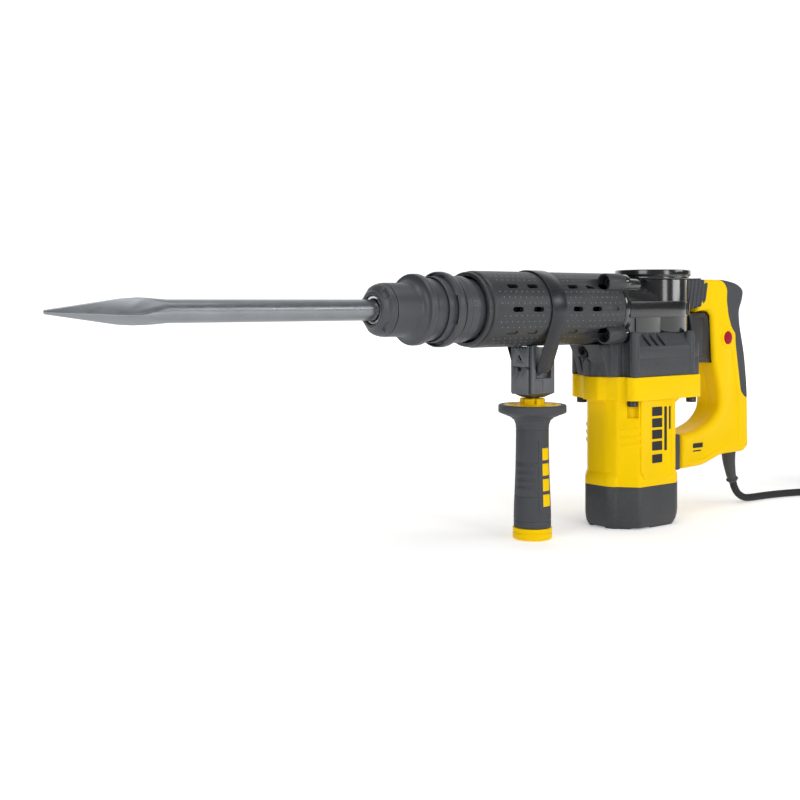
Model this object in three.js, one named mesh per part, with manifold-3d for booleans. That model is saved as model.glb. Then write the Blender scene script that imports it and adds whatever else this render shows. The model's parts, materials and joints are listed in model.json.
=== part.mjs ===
// Electric demolition hammer with an SDS-max point chisel, in millimetres.
// X runs along the impact axis with the chisel pointing to -X, and Z is up. The origin is on the floor
// under the motor, midway between the four housing screws. The hammer stands on its motor and side grip.

import * as THREE from "three";
import { mergeVertices } from "three/addons/utils/BufferGeometryUtils.js";
import Module from "manifold-3d";

const wasm = await Module();
wasm.setup();

// Driving dimensions
const GAP = 0.3;
const AXIS_Z = 218; // height of the impact axis
const MOTOR_X = -12; // armature axis
const CRANK_X = 25.3; // crankshaft axis
const GRIP_X = -149.5; // side handle axis

const BASE_Z = 42; // top of the motor end cap
const FLANGE_Z = 127.5; // underside of the motor flange
const DECK_Z = 150.5; // joint between motor housing and gear housing
const ROOF_Z = 193.7; // top of the gear housing
const COVER_Z = 247.9; // joint between crankcase and its cover
const TOP_Z = 257.5;
const SCREW_X = 45;
const SCREW_Y = 34;

const SLEEVE_R = 35.25; // barrel sleeve
const SLEEVE_FRONT = -235.3;
const SLEEVE_REAR = -56.3;
const TUBE_R = 25.5; // steel cylinder
const BORE_R = 20;
const TUBE_FRONT = -232;
const TUBE_REAR = -14;
const COLUMN_R = 35.2; // crankcase column
const MOUNT_R = 33.5; // crankcase barrel mount

const SHANK_R = 9; // SDS-max shank, 18 mm
const SHANK_REAR = -229.6;
const TIP_X = -629.6;
const TIP_WIDEST_X = -573.5;
const TIP_BLEND_X = -534.6;
const HOLDER_BORE_R = 9.4;
const HOLDER_R = 15.5;

const PINION_TEETH = 8;
const GEAR_TEETH = 32;
const CRANK_THROW = 13; // half the piston stroke
const ROD_Z = AXIS_Z - 6; // underside of the connecting rod
const WRIST_X = -62;

const HANDLE_HALF = 17; // half the width of the rear handle
const PIVOT_X = 46.3; // rear handle pivot
const PIVOT_Z = 68;

const CORD_R = 4;
const LEAD_TOP = [161.5, 0, 25]; // where the cord leaves its guard
const COIL_X = 388;
const COIL_Y = -20;
const COIL_R = 46; // middle of the turns
const COIL_HALF = 3 * CORD_R; // half the winding's width
const COIL_Z = 0.9; // the coil lies on its tie
const COIL_TOP = 33.3;

const COLOURS = {
  yellow: [0xf5b400, 0.42, 0],
  black: [0x17181a, 0.35, 0],
  grey: [0x2b2c30, 0.6, 0],
  rubber: [0x1c1d20, 0.85, 0],
  steel: [0x8d9196, 0.35, 1],
  forged: [0x7b7f84, 0.5, 1],
  copper: [0xb06a3a, 0.4, 1],
  red: [0xb3202c, 0.4, 0],
};

// Shape helpers

const AXES = {
  x: new THREE.Matrix4().makeBasis(unit(0, 1, 0), unit(0, 0, 1), unit(1, 0, 0)),
  y: new THREE.Matrix4().makeBasis(unit(1, 0, 0), unit(0, 0, 1), unit(0, 1, 0)),
  z: new THREE.Matrix4(),
};
const LATHE_AXES = {
  x: new THREE.Matrix4().makeBasis(unit(0, 1, 0), unit(1, 0, 0), unit(0, 0, 1)),
  y: new THREE.Matrix4(),
  z: new THREE.Matrix4().makeBasis(unit(1, 0, 0), unit(0, 0, 1), unit(0, 1, 0)),
};

function unit(x, y, z) {
  return new THREE.Vector3(x, y, z);
}

// A closed geometry as a solid: shared corners merged, empty triangles dropped, faces turned outwards.
function solid(geometry) {
  const bare = new THREE.BufferGeometry();
  bare.setAttribute("position", geometry.getAttribute("position"));
  bare.setIndex(geometry.index);
  const merged = mergeVertices(bare, 1e-4);
  const points = merged.getAttribute("position").array;
  const corners = merged.index.array;
  const kept = [];
  let volume = 0;
  for (let i = 0; i < corners.length; i += 3) {
    const [a, b, c] = corners.slice(i, i + 3);
    if (a === b || b === c || c === a) continue;
    kept.push(a, b, c);
    const pa = new THREE.Vector3().fromArray(points, 3 * a);
    const pb = new THREE.Vector3().fromArray(points, 3 * b);
    const pc = new THREE.Vector3().fromArray(points, 3 * c);
    volume += pa.dot(pb.cross(pc));
  }
  if (volume < 0) kept.reverse();
  const mesh = new wasm.Mesh({
    numProp: 3,
    vertProperties: Float32Array.from(points),
    triVerts: Uint32Array.from(kept),
  });
  return new wasm.Manifold(mesh);
}

function join(first, ...others) {
  return others.reduce((sum, other) => sum.add(other), first);
}

function cut(body, ...tools) {
  return tools.reduce((rest, tool) => rest.subtract(tool), body);
}

// A closed shape through corners [u, v, radius]; a corner with a radius is rounded, as far as its two
// edges leave room.
function outline(corners) {
  const path = new THREE.Shape();
  const points = corners.map(([u, v]) => new THREE.Vector2(u, v));
  corners.forEach(([u, v, radius = 0], i) => {
    const back = points.at(i - 1).clone().sub(points[i]);
    const ahead = points[(i + 1) % points.length].clone().sub(points[i]);
    const reach = Math.min(radius, 0.45 * back.length(), 0.45 * ahead.length());
    const start = back.setLength(reach).add(points[i]);
    const end = ahead.setLength(reach).add(points[i]);
    if (i === 0) path.moveTo(start.x, start.y);
    else path.lineTo(start.x, start.y);
    if (reach > 0) path.quadraticCurveTo(u, v, end.x, end.y);
  });
  return path;
}

// A half outline on each side of v = 0, both drawn at v > 0.
function sided({ near, far }) {
  const other = near.filter(([, v]) => v !== 0).reverse();
  return outline([...far, ...other.map(([u, v, radius]) => [u, -v, radius])]);
}

function mirrored(half) {
  return sided({ near: half, far: half });
}

// A shape drawn across an axis, extruded along it: (Y, Z) for x, (X, Z) for y and (X, Y) for z.
function prism(axis, shape, from, to, { bevel = 0, bevelSegments = 1, steps = 1 } = {}) {
  const geometry = new THREE.ExtrudeGeometry(shape, {
    depth: to - from - 2 * bevel,
    bevelEnabled: bevel > 0,
    bevelThickness: bevel,
    bevelSize: bevel,
    bevelOffset: -bevel,
    bevelSegments,
    curveSegments: steps,
  });
  geometry.translate(0, 0, from + bevel);
  return solid(geometry.applyMatrix4(AXES[axis]));
}

function box([x0, x1], [y0, y1], [z0, z1]) {
  const geometry = new THREE.BoxGeometry(x1 - x0, y1 - y0, z1 - z0);
  return solid(geometry.translate((x0 + x1) / 2, (y0 + y1) / 2, (z0 + z1) / 2));
}

// A profile of [radius, station] turned about an axis through "at". It starts and ends on the axis, or
// is closed on itself here.
function turned(axis, profile, { at = [0, 0, 0], sides = 20 } = {}) {
  const open = profile[0][0] > 0 || profile.at(-1)[0] > 0;
  const loop = open ? [...profile, profile[0]] : profile;
  const points = loop.map(([radius, station]) => new THREE.Vector2(radius, station));
  const geometry = new THREE.LatheGeometry(points, sides).applyMatrix4(LATHE_AXES[axis]);
  return solid(geometry.translate(...at));
}

function rod(axis, radius, from, to, options) {
  return turned(axis, [[0, from], [radius, from], [radius, to], [0, to]], options);
}

function tube(axis, inner, outer, from, to, options) {
  const profile = [[inner, from], [outer, from], [outer, to], [inner, to]];
  return turned(axis, profile, options);
}

// A round bar bent along a curve.
function bar(curve, radius, steps, sides = 8) {
  const section = new THREE.Shape();
  for (let i = 0; i < sides; i += 1) {
    const angle = (2 * Math.PI * i) / sides;
    const place = [radius * Math.cos(angle), radius * Math.sin(angle)];
    if (i === 0) section.moveTo(...place);
    else section.lineTo(...place);
  }
  const options = { extrudePath: curve, steps, bevelEnabled: false };
  return solid(new THREE.ExtrudeGeometry(section, options));
}

// The centreline of a helical spring along X.
function helix(radius, from, to, turns, at = [0, 0, 0]) {
  const points = [];
  const perTurn = 8;
  for (let i = 0; i <= turns * perTurn; i += 1) {
    const angle = (2 * Math.PI * i) / perTurn;
    const along = from + ((to - from) * i) / (turns * perTurn);
    points.push(unit(along, radius * Math.cos(angle), radius * Math.sin(angle)).add(unit(...at)));
  }
  return new THREE.CatmullRomCurve3(points);
}

// Scene graph helpers

const hammer = new THREE.Group();

function group(parent, x = 0, y = 0, z = 0) {
  const made = new THREE.Group();
  made.position.set(x, y, z);
  parent.add(made);
  return made;
}

function add(parent, name, body, colour) {
  const { vertProperties, triVerts } = body.getMesh();
  const geometry = new THREE.BufferGeometry();
  geometry.setAttribute("position", new THREE.BufferAttribute(vertProperties, 3));
  geometry.setIndex(new THREE.BufferAttribute(triVerts, 1));
  geometry.computeVertexNormals();
  const [hex, roughness, metalness] = COLOURS[colour];
  const material = new THREE.MeshStandardMaterial({ color: hex, roughness, metalness });
  const mesh = new THREE.Mesh(geometry, material);
  mesh.name = name;
  parent.add(mesh);
}

// Motor housing, end cap and gear housing: plan outlines, front to rear, on the +Y side

const FLANGE = [
  [-71, 0], [-69.5, 10, 3], [-62, 15, 3], [-57, 25, 3], [-55, 35, 4], [-51, 43, 4],
  [51, 43, 5], [56, 30, 6], [61, 16, 8], [62, 0],
];
// The motor column and its end cap have a wider slope on the far (+Y) side of their front.
const COLUMN_REAR = [[13, 38, 3], [28, 27, 4], [34, 13, 4], [34, 0]];
const COLUMN = {
  near: [[-59, 0], [-58.5, 13, 3], [-55.5, 24, 2], [-40, 38, 2], ...COLUMN_REAR],
  far: [[-59, 0], [-58.5, 13, 3], [-34, 37, 3], ...COLUMN_REAR],
};
const COLUMN_REAR_INSIDE = [[11, 34.5, 3], [24.5, 25, 4], [30.5, 11, 4], [30.5, 0]];
const COLUMN_INSIDE = {
  near: [[-55, 0], [-54.5, 10, 3], [-50, 19, 2], [-36, 34, 2], ...COLUMN_REAR_INSIDE],
  far: [[-55, 0], [-54.5, 10, 3], [-31, 33.5, 3], ...COLUMN_REAR_INSIDE],
};
const CAP_REAR = [[14, 40, 4], [31, 28, 4], [37.5, 14, 4], [37.5, 0]];
const END_CAP = {
  near: [[-62, 0], [-61.5, 14, 3], [-58, 21, 1], [-55, 23, 1], [-53, 26, 2], [-41, 40, 3], ...CAP_REAR],
  far: [[-62, 0], [-61.5, 14, 3], [-35, 38, 3], ...CAP_REAR],
};
const END_CAP_INSIDE = { near: END_CAP.near.map(shrunk), far: END_CAP.far.map(shrunk) };

function shrunk([x, y, radius]) {
  return [MOTOR_X + (x - MOTOR_X) * 0.91, y * 0.91, radius];
}

function motorHousing() {
  const label = (front) => outline([
    [front, 56], [front + 12.5, 45], [8, 45], [13, 50], [13, 134], [8, 139.5], [front + 14, 139.5],
    [front, 128],
  ]);
  const outside = join(
    prism("z", mirrored(FLANGE), FLANGE_Z, DECK_Z),
    prism("z", sided(COLUMN), BASE_Z + GAP, DECK_Z),
    prism("y", label(-39), -40, -37),
    prism("y", label(-30), 37, 40),
    box([32, 41], [-16, 16], [50, 86]),
  );
  const screwHoles = corners().map(([x, y]) => {
    const profile = [[0, 118], [5.6, 118], [5.6, 127.4], [2.8, 127.4], [2.8, DECK_Z + 1], [0, DECK_Z + 1]];
    return turned("z", profile, { at: [x, y, 0], sides: 16 });
  });
  return cut(
    outside,
    prism("z", sided(COLUMN_INSIDE), 0, 142),
    rod("z", 11.3, 140, DECK_Z + 1, { at: [MOTOR_X, 0, 0], sides: 24 }),
    rod("z", 9.3, 146, DECK_Z + 1, { at: [CRANK_X, 0, 0], sides: 24 }),
    box([35, 42], [-7.2, 7.2], [PIVOT_Z - 10.5, PIVOT_Z + 10.5]),
    ...screwHoles,
  );
}

function corners() {
  return [[-SCREW_X, -SCREW_Y], [SCREW_X, -SCREW_Y], [SCREW_X, SCREW_Y], [-SCREW_X, SCREW_Y]];
}

function endCap() {
  const base = cut(
    prism("z", sided(END_CAP), 0, BASE_Z + 10, { bevel: 4 }),
    box([-80, 80], [-80, 80], [BASE_Z, BASE_Z + 20]),
  );
  const hollow = prism("z", sided(END_CAP_INSIDE), 4, BASE_Z + 1);
  const shell = cut(base, hollow);
  const seat = tube("z", 11.3, 14, 3, 17, { at: [MOTOR_X, 0, 0], sides: 24 });
  const posts = [-1, 1].map((side) => box([MOTOR_X - 8, MOTOR_X + 8], span(side, 18, 37), [3, BASE_Z]));
  const slots = [-1, 1].map((side) =>
    box([MOTOR_X - 4.3, MOTOR_X + 4.3], span(side, 17, 33), [29.7, 36.3]),
  );
  return cut(join(shell, seat, ...posts), ...slots);
}

function span(side, near, far) {
  return side < 0 ? [-far, -near] : [near, far];
}

function gearHousing() {
  const floor = DECK_Z + GAP;
  const inset = FLANGE.map(([x, y, radius]) => [x * 0.985, y * 0.97, radius]);
  const bracket = outline([[-79, 183], [-50, 183], [-50, floor], [-66, floor], [-70, 166]]);
  const columns = corners().map(([x, y]) => {
    const at = [x > 0 ? 37 : -47.5, Math.sign(y) * 38.5, 0];
    return turned("z", [[0, floor], [5, floor], [5, 193], [3, 195.5], [0, 195.5]], { at, sides: 12 });
  });
  const outside = join(
    prism("z", mirrored(inset), floor, ROOF_Z),
    prism("y", bracket, -20, 20),
  );
  const shoulder = [[33, ROOF_Z + 1], [60, ROOF_Z + 1], [60, 180], [42, 180]];
  const chamfer = (side) => prism("x", outline(shoulder.map(([y, z]) => [side * y, z])), -90, 90);
  const shaped = join(cut(outside, chamfer(-1), chamfer(1)), ...columns);
  const lugs = [-1, 1].map((side) =>
    join(
      rod("x", 9.8, -100, -55, { at: [0, side * 27, AXIS_Z - 25.5], sides: 12 }),
      rod("x", 8.6, -56, -48.4, { at: [0, side * 27, AXIS_Z - 25.5], sides: 12 }),
    ),
  );
  const holes = corners().map(([x, y]) => rod("z", 2.8, floor - 1, 172, { at: [x, y, 0], sides: 12 }));
  return cut(
    shaped,
    rod("x", SLEEVE_R + 0.8, -100, -55, { at: [0, 0, AXIS_Z], sides: 28 }),
    rod("x", COLUMN_R + 0.5, -56, -48.6, { at: [0, 0, AXIS_Z], sides: 28 }),
    rod("x", MOUNT_R + 0.5, -49, -4.7, { at: [0, 0, AXIS_Z], sides: 28 }),
    ...lugs,
    ...holes,
    rod("z", 33.5, floor - 1, 180, { at: [CRANK_X, 0, 0] }),
    rod("z", 11, floor - 1, 180, { at: [MOTOR_X, 0, 0], sides: 24 }),
    rod("z", 17.3, 179, ROOF_Z + 1, { at: [CRANK_X, 0, 0] }),
  );
}

// Four barrel screw places round the impact axis, as [y, z] offsets.
function barrelScrews() {
  return [[-27, 25.5], [27, 25.5], [27, -25.5], [-27, -25.5]];
}

function crankcase() {
  const along = { at: [0, 0, AXIS_Z], sides: 28 };
  const upright = { at: [CRANK_X, 0, 0], sides: 28 };
  const mount = cut(
    rod("x", MOUNT_R, -49.3, CRANK_X, along),
    box([-4.9, CRANK_X + 1], [-40, 40], [180, ROOF_Z + GAP]),
  );
  const bosses = barrelScrews().map(([y, z]) => {
    const at = [0, y * 0.93, AXIS_Z + z * 0.93];
    const profile = [[0, -50], [6, -50], [6, -30], [4, -27.5], [0, -27.5]];
    return turned("x", profile, { at, sides: 12 });
  });
  const ears = barrelScrews().map(([y, z]) =>
    rod("x", 8, SLEEVE_REAR + GAP, -49, { at: [0, y, AXIS_Z + z], sides: 12 }),
  );
  const outside = join(
    rod("z", COLUMN_R, ROOF_Z + GAP, COVER_Z - GAP, upright),
    mount,
    rod("x", COLUMN_R, SLEEVE_REAR + GAP, -49, along),
    box([-49.3, CRANK_X], [-COLUMN_R, COLUMN_R], [209.3, 225.5]),
    ...bosses.slice(0, 2),
    ...ears,
  );
  return cut(
    outside,
    rod("x", TUBE_R + GAP, -60, TUBE_REAR + GAP, along),
    rod("x", 22, TUBE_REAR - 1, CRANK_X, along),
    rod("z", 31.5, 197.5, COVER_Z, upright),
    rod("z", 12, ROOF_Z - 1, 198, { ...upright, sides: 16 }),
    box([-14.4, 70], [-45, 45], [COVER_Z - GAP, 260]),
  );
}

function barrelSleeve() {
  const along = { at: [0, 0, AXIS_Z], sides: 28 };
  const shell = turned("x", [
    [31, SLEEVE_REAR], [SLEEVE_R, SLEEVE_REAR], [SLEEVE_R, -230.5], [34.4, -234.3], [33, SLEEVE_FRONT],
    [30.6, SLEEVE_FRONT], [30.6, -231.7], [31, -231.7],
  ], along);
  const lugs = barrelScrews().map(([y, z]) =>
    rod("x", 9, -81, SLEEVE_REAR, { at: [0, y, AXIS_Z + z], sides: 16 }),
  );
  const inside = rod("x", 31, -100, -50, along);
  const slots = [];
  const places = { 0: [-201.5, -175.6, -123.4, -97.2], 37: [-202, -176.8, -123.8, -99] };
  for (const [angle, stations] of Object.entries(places)) {
    for (const tilt of new Set([Number(angle), -Number(angle), 180 - angle, 180 + Number(angle)])) {
      for (const station of stations) {
        const slot = new THREE.BoxGeometry(13.5, 12, 4.5).translate(station, -33, 0);
        slot.rotateX(THREE.MathUtils.degToRad(tilt)).translate(0, 0, AXIS_Z);
        slots.push(solid(slot));
      }
    }
  }
  return cut(join(shell, ...lugs), inside, ...slots);
}

const housing = group(hammer);
add(housing, "motor_housing", motorHousing(), "yellow");
add(housing, "motor_end_cap", endCap(), "grey");
add(housing, "gear_housing", gearHousing(), "black");
add(housing, "crankcase", crankcase(), "black");
add(housing, "barrel_sleeve", barrelSleeve(), "grey");

const cover = [
  [0, COVER_Z], [37.5, COVER_Z], [37.5, 250.6], [39, 252.4], [39, 256], [37.5, TOP_Z], [0, TOP_Z],
];
add(housing, "crankcase_cover", turned("z", cover, { at: [CRANK_X, 0, 0], sides: 28 }), "black");

const barrel = group(housing, 0, 0, AXIS_Z);
add(barrel, "barrel_tube", tube("x", BORE_R, TUBE_R, TUBE_FRONT, TUBE_REAR), "steel");
add(barrel, "neck_collar", tube("x", 22.6, 30.2, -258, TUBE_FRONT - 0.4), "black");

corners().forEach(([x, y], i) => {
  const screw = [
    [0, 125], [2.6, 125], [2.6, 121.6], [5, 121.6], [5, 127.1], [2.5, 127.1], [2.5, 168], [0, 168],
  ];
  add(housing, `housing_screw_${i + 1}`, turned("z", screw, { at: [x, y, 0], sides: 12 }), "steel");
});

// Motor

const stator = group(housing, MOTOR_X);
const core = cut(
  rod("z", 33.5, 62, 108, { sides: 32 }),
  rod("z", 22.7, 61, 109, { sides: 16 }),
);
add(stator, "stator_core", core, "steel");
add(stator, "stator_winding", tube("z", 23.5, 31.5, 108.3, 114, { sides: 16 }), "copper");
add(stator, "armature_bearing_lower", tube("z", 4.3, 11, 8, 16, { sides: 16 }), "steel");
add(stator, "armature_bearing_upper", tube("z", 5.3, 11, 142.4, 150.2, { sides: 16 }), "steel");
[-1, 1].forEach((side, i) => {
  const brush = box([-4, 4], span(side, 12.8, 32.6), [30, 36]);
  add(stator, `carbon_brush_${i + 1}`, brush, "rubber");
});

// The outline of a gear with plain tapered teeth, slim enough to run freely.
function gearShape(teeth, module, phase) {
  const pitch = (module * teeth) / 2;
  const corner = [[-0.3, -1.1], [-0.15, 0.75], [0.15, 0.75], [0.3, -1.1]];
  const shape = new THREE.Shape();
  for (let tooth = 0; tooth < teeth; tooth += 1) {
    corner.forEach(([share, height], i) => {
      const angle = (2 * Math.PI * (tooth + share + phase)) / teeth;
      const radius = pitch + height * module;
      const place = [radius * Math.cos(angle), radius * Math.sin(angle)];
      if (tooth === 0 && i === 0) shape.moveTo(...place);
      else shape.lineTo(...place);
    });
  }
  return shape;
}

const MODULE = (2 * (CRANK_X - MOTOR_X)) / (PINION_TEETH + GEAR_TEETH);

const armature = group(hammer, MOTOR_X);
const shaft = join(
  turned("z", [
    [0, 6], [4, 6], [4, 17], [5.5, 17], [5.5, 141], [5, 141], [5, 164], [0, 164],
  ], { sides: 16 }),
  prism("z", gearShape(PINION_TEETH, MODULE, 0), 163, 178),
);
add(armature, "armature_shaft", shaft, "steel");
add(armature, "armature_core", tube("z", 5.8, 22, 60, 106, { sides: 16 }), "copper");
add(armature, "commutator", tube("z", 5.8, 12.5, 26, 44, { sides: 16 }), "copper");

function fan() {
  const blades = [];
  for (let i = 0; i < 8; i += 1) {
    const blade = new THREE.BoxGeometry(12, 1.6, 9).translate(20.5, 0, 126);
    blades.push(solid(blade.rotateZ((2 * Math.PI * (i + 0.5)) / 8)));
  }
  const disc = tube("z", 5.8, 27, 118.5, 122, { sides: 16 });
  return join(disc, tube("z", 5.8, 10, 118.5, 132, { sides: 16 }), ...blades);
}
add(armature, "cooling_fan", fan(), "grey");

// Crank, connecting rod and impact train

const crank = group(hammer, CRANK_X);
const crankshaft = join(
  turned("z", [
    [0, 147], [5, 147], [5, 165.5], [8.7, 165.5], [8.7, 198], [22, 198], [22, 208], [0, 208],
  ], { sides: 16 }),
  rod("z", 5.5, 207, ROD_Z - GAP - 0.1, { at: [-CRANK_THROW, 0, 0], sides: 16 }),
);
const balance = box([-30, 30], [14, 30], [197.9, 208.1]);
const balanceFar = box([-30, 30], [-30, -14], [197.9, 208.1]);
add(crank, "crankshaft", cut(crankshaft, balance, balanceFar), "steel");
const gear = cut(
  prism("z", gearShape(GEAR_TEETH, MODULE, 0.5), 166, 176),
  rod("z", 9, 165, 177, { sides: 16 }),
);
add(crank, "crank_gear", gear, "steel");

const crankSeats = group(housing, CRANK_X);
add(crankSeats, "crank_bearing_lower", tube("z", 5.3, 9, 146.4, 153, { sides: 16 }), "steel");
add(crankSeats, "crank_bearing_upper", tube("z", 9, 17, 183, 193, { sides: 16 }), "steel");

const piston = group(hammer, 0, 0, AXIS_Z);
const pistonBody = cut(
  rod("x", BORE_R - 0.4, -85, -45),
  box([-74, -40], [-12.5, 12.5], [-6.4, 6.4]),
  rod("z", 4.8, -30, 30, { at: [WRIST_X, 0, 0], sides: 16 }),
);
add(piston, "piston", pistonBody, "steel");
add(piston, "wrist_pin", rod("z", 4.5, -15, 15, { at: [WRIST_X, 0, 0], sides: 16 }), "steel");

function connectingRod() {
  const bigEnd = CRANK_X - CRANK_THROW;
  const beam = outline([
    [WRIST_X + 6, -6], [WRIST_X + 6, 6], [bigEnd - 7, 7], [bigEnd - 7, -7],
  ]);
  const body = join(
    rod("z", 9.5, -6, 6, { at: [WRIST_X, 0, 0], sides: 16 }),
    rod("z", 11, -6, 6, { at: [bigEnd, 0, 0], sides: 24 }),
    prism("z", beam, -6, 6),
  );
  return cut(
    body,
    rod("z", 4.8, -10, 10, { at: [WRIST_X, 0, 0], sides: 16 }),
    rod("z", 5.9, -10, 10, { at: [bigEnd, 0, 0], sides: 16 }),
  );
}
add(group(hammer, 0, 0, AXIS_Z), "connecting_rod", connectingRod(), "forged");

const ram = [
  [0, -176], [16, -176], [BORE_R - 0.4, -172], [BORE_R - 0.4, -136], [0, -136],
];
add(group(hammer, 0, 0, AXIS_Z), "ram", turned("x", ram, { sides: 16 }), "steel");

const striker = [
  [0, -229.2], [8.6, -229.2], [8.6, -224], [13.8, -218], [13.8, -197], [10, -193], [10, -185], [0, -185],
];
add(group(hammer, 0, 0, AXIS_Z), "striker", turned("x", striker, { sides: 16 }), "steel");

// Tool holder, in coordinates of the impact axis

const BAR_REACH = [7.2, 15.2]; // from the impact axis
const BAR_SPAN = [-317.5, -303.5];

const holderBody = cut(
  turned("x", [
    [HOLDER_BORE_R, -339.5], [12.4, -339.5], [12.4, -334.2], [HOLDER_R, -334.2], [HOLDER_R, -262],
    [22, -262], [22, -236.4], [19.4, -236.4], [19.4, -205], [14.6, -205], [14.6, -225.5],
    [HOLDER_BORE_R, -227.5],
  ]),
  box([BAR_SPAN[0] - 0.4, BAR_SPAN[1] + 0.4], [-20, 20], [-4, 4]),
);
const toolHolder = group(hammer, 0, 0, AXIS_Z);
add(toolHolder, "tool_holder", holderBody, "steel");
add(toolHolder, "dust_cap", turned("x", [
  [12.8, -341], [15.8, -341], [20.5, -338.5], [22.4, -335], [23.1, -329.8], [15.9, -329.8], [15.9, -334.6],
  [12.8, -334.6],
]), "rubber");
[-1, 1].forEach((side, i) => {
  const lock = box(BAR_SPAN, span(side, ...BAR_REACH), [-3.6, 3.6]);
  add(group(toolHolder), `lock_bar_${i + 1}`, lock, "steel");
});

const lockingSleeve = group(toolHolder);
add(lockingSleeve, "locking_sleeve", turned("x", [
  [19.4, -329.4], [23.3, -329.4], [23.5, -305], [25, -300], [28, -296.5], [31.6, -295.5], [31.6, -291],
  [28, -290], [27.6, -275.3], [24.5, -275.3], [24.5, -296], [15.9, -296], [15.9, -303.2], [19.4, -310.8],
]), "rubber");
const lockSpring = bar(helix(18.2, -294.4, -263.8, 4), 1.2, 32, 5);
add(toolHolder, "lock_spring", lockSpring, "steel");
add(group(toolHolder), "index_ring", turned("x", [
  [28.5, -279.5], [30, -279.5], [33.8, -270], [33.6, -262.5], [31, -258.6], [22.6, -258.6], [22.6, -264],
  [28.5, -264],
]), "rubber");

function chisel() {
  const [middle, front] = [(TIP_WIDEST_X + TIP_BLEND_X) / 2, (TIP_X + TIP_WIDEST_X) / 2];
  const round = turned("x", [
    [0, TIP_X - 5], [10.2, TIP_X - 5], [10.2, TIP_WIDEST_X], [SHANK_R, TIP_BLEND_X],
    [SHANK_R, SHANK_REAR - 1.5], [SHANK_R - 1.5, SHANK_REAR], [0, SHANK_REAR],
  ], { sides: 16 });
  const square = (rear, ahead, length, at) => {
    const shape = new THREE.CylinderGeometry(rear, ahead, length, 4);
    shape.rotateY(THREE.MathUtils.degToRad(17.5)).rotateZ(-Math.PI / 2).translate(at, 0, 0);
    return solid(shape);
  };
  const point = square(10.2, 1.6, TIP_WIDEST_X - TIP_X, front);
  const blend = square(12.8, 10.2, TIP_BLEND_X - TIP_WIDEST_X, middle);
  const shank = rod("x", 12, TIP_BLEND_X, SHANK_REAR + 1);
  const grooves = [-1, 1].map((side) => box([-318.3, -274], span(side, 6.8, 12), [-4, 4]));
  return cut(round.intersect(join(point, blend, shank)), ...grooves);
}
add(group(toolHolder), "chisel", chisel(), "forged");

// Side handle: it swings round the barrel on its band, and its grip turns to tighten the band

const BLOCK_X = GRIP_X + 0.5;
const clamp = group(hammer);
const band = tube("x", SLEEVE_R + GAP, 36.8, GRIP_X - 9.5, GRIP_X + 9.5, { at: [0, 0, AXIS_Z], sides: 28 });
add(clamp, "clamp_band", band, "black");
const blockShape = outline([
  [-15, 183.5], [15, 183.5], [15, 139], [10, 134.2], [-10, 134.2], [-15, 139],
]);
const block = cut(
  prism("x", blockShape, BLOCK_X - 15, BLOCK_X + 15),
  rod("x", 37.2, -200, -100, { at: [0, 0, AXIS_Z], sides: 28 }),
  rod("z", 5.4, 130, 172, { at: [GRIP_X, 0, 0], sides: 16 }),
  box([BLOCK_X - 12, BLOCK_X + 12], [-18, -9], [154, 171]),
);
add(clamp, "clamp_block", block, "black");
const saddle = outline([
  [-12.5, 146], [12.5, 146], [12.5, 183], [9.5, 180.5], [7, 183], [4, 180], [1, 182], [-2, 180],
  [-5, 182.5], [-8, 180.5], [-12.5, 184],
]);
const saddlePlate = prism("x", saddle, BLOCK_X - 17.8, BLOCK_X - 15.3);
add(clamp, "clamp_saddle", cut(saddlePlate, rod("x", SLEEVE_R + 0.5, -200, -100, { at: [0, 0, AXIS_Z] })),
  "steel");
add(clamp, "clamp_bolt", rod("z", 5, 80, 168, { at: [GRIP_X, 0, 0], sides: 16 }), "steel");

const sideGrip = group(hammer, GRIP_X);
const gripCore = cut(
  turned("z", [
    [0, 0], [17.5, 0], [18.75, 1.5], [18.75, 11], [11, 11], [11, 124.6], [27, 124.6], [27, 127.2],
    [12, 127.2], [12, 133.2], [0, 133.2],
  ]),
  rod("z", 5.4, 78, 140, { sides: 16 }),
);
add(sideGrip, "side_grip_core", gripCore, "yellow");
add(sideGrip, "side_grip_rubber", turned("z", [
  [11.3, 11.3], [17.6, 11.3], [17.6, 30], [16.4, 60], [15.75, 108], [19, 114], [29, 118.4], [32.4, 120],
  [32.4, 126], [31.4, 127.2], [27.3, 127.2], [27.3, 124.3], [11.3, 124.3],
]), "rubber");

// Rear handle: a D that is open towards the motor, in (X, Z)

const HANDLE = [
  [79, 248.5], [128, 248.5], [150, 244.5], [160.5, 238], [158, 226, 9], [152, 215, 10], [153.5, 200, 9],
  [162, 168, 12], [167, 130, 15], [168, 66], [160, 60], [121, 59.8, 9], [90, 50.5, 9], [52.2, 49.5],
  [52.2, 86], [76, 87.6, 10], [102, 95.6, 12], [118, 110, 9], [116, 132, 10], [106.5, 160], [103, 210],
  [97, 215.5], [79, 214],
];
const OVERMOLD = [
  [113.5, 252], [124, 245, 3], [129, 238, 3], [128.2, 226, 4], [131, 210, 5], [136.5, 197], [143.5, 190, 3],
  [143.5, 180, 3], [148, 155], [153, 127, 3], [160, 120], [175, 118], [175, 252],
];
const TRIGGER = [
  [69, 212.6, 2], [98, 213.6, 3], [106.5, 206, 3], [112.5, 178, 4], [113, 163, 3], [108, 159.6, 2],
  [84.5, 159.8, 3], [80, 164, 3], [76.5, 185, 6],
];
const TRIGGER_HALF = 12;
const TRIGGER_TRAVEL = 5.5;
const BUTTON_AT = [128.2, 0, 185.7];

function shifted(points, dx, dz = 0) {
  return points.map(([x, z, radius]) => [x + dx, z + dz, radius]);
}

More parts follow.
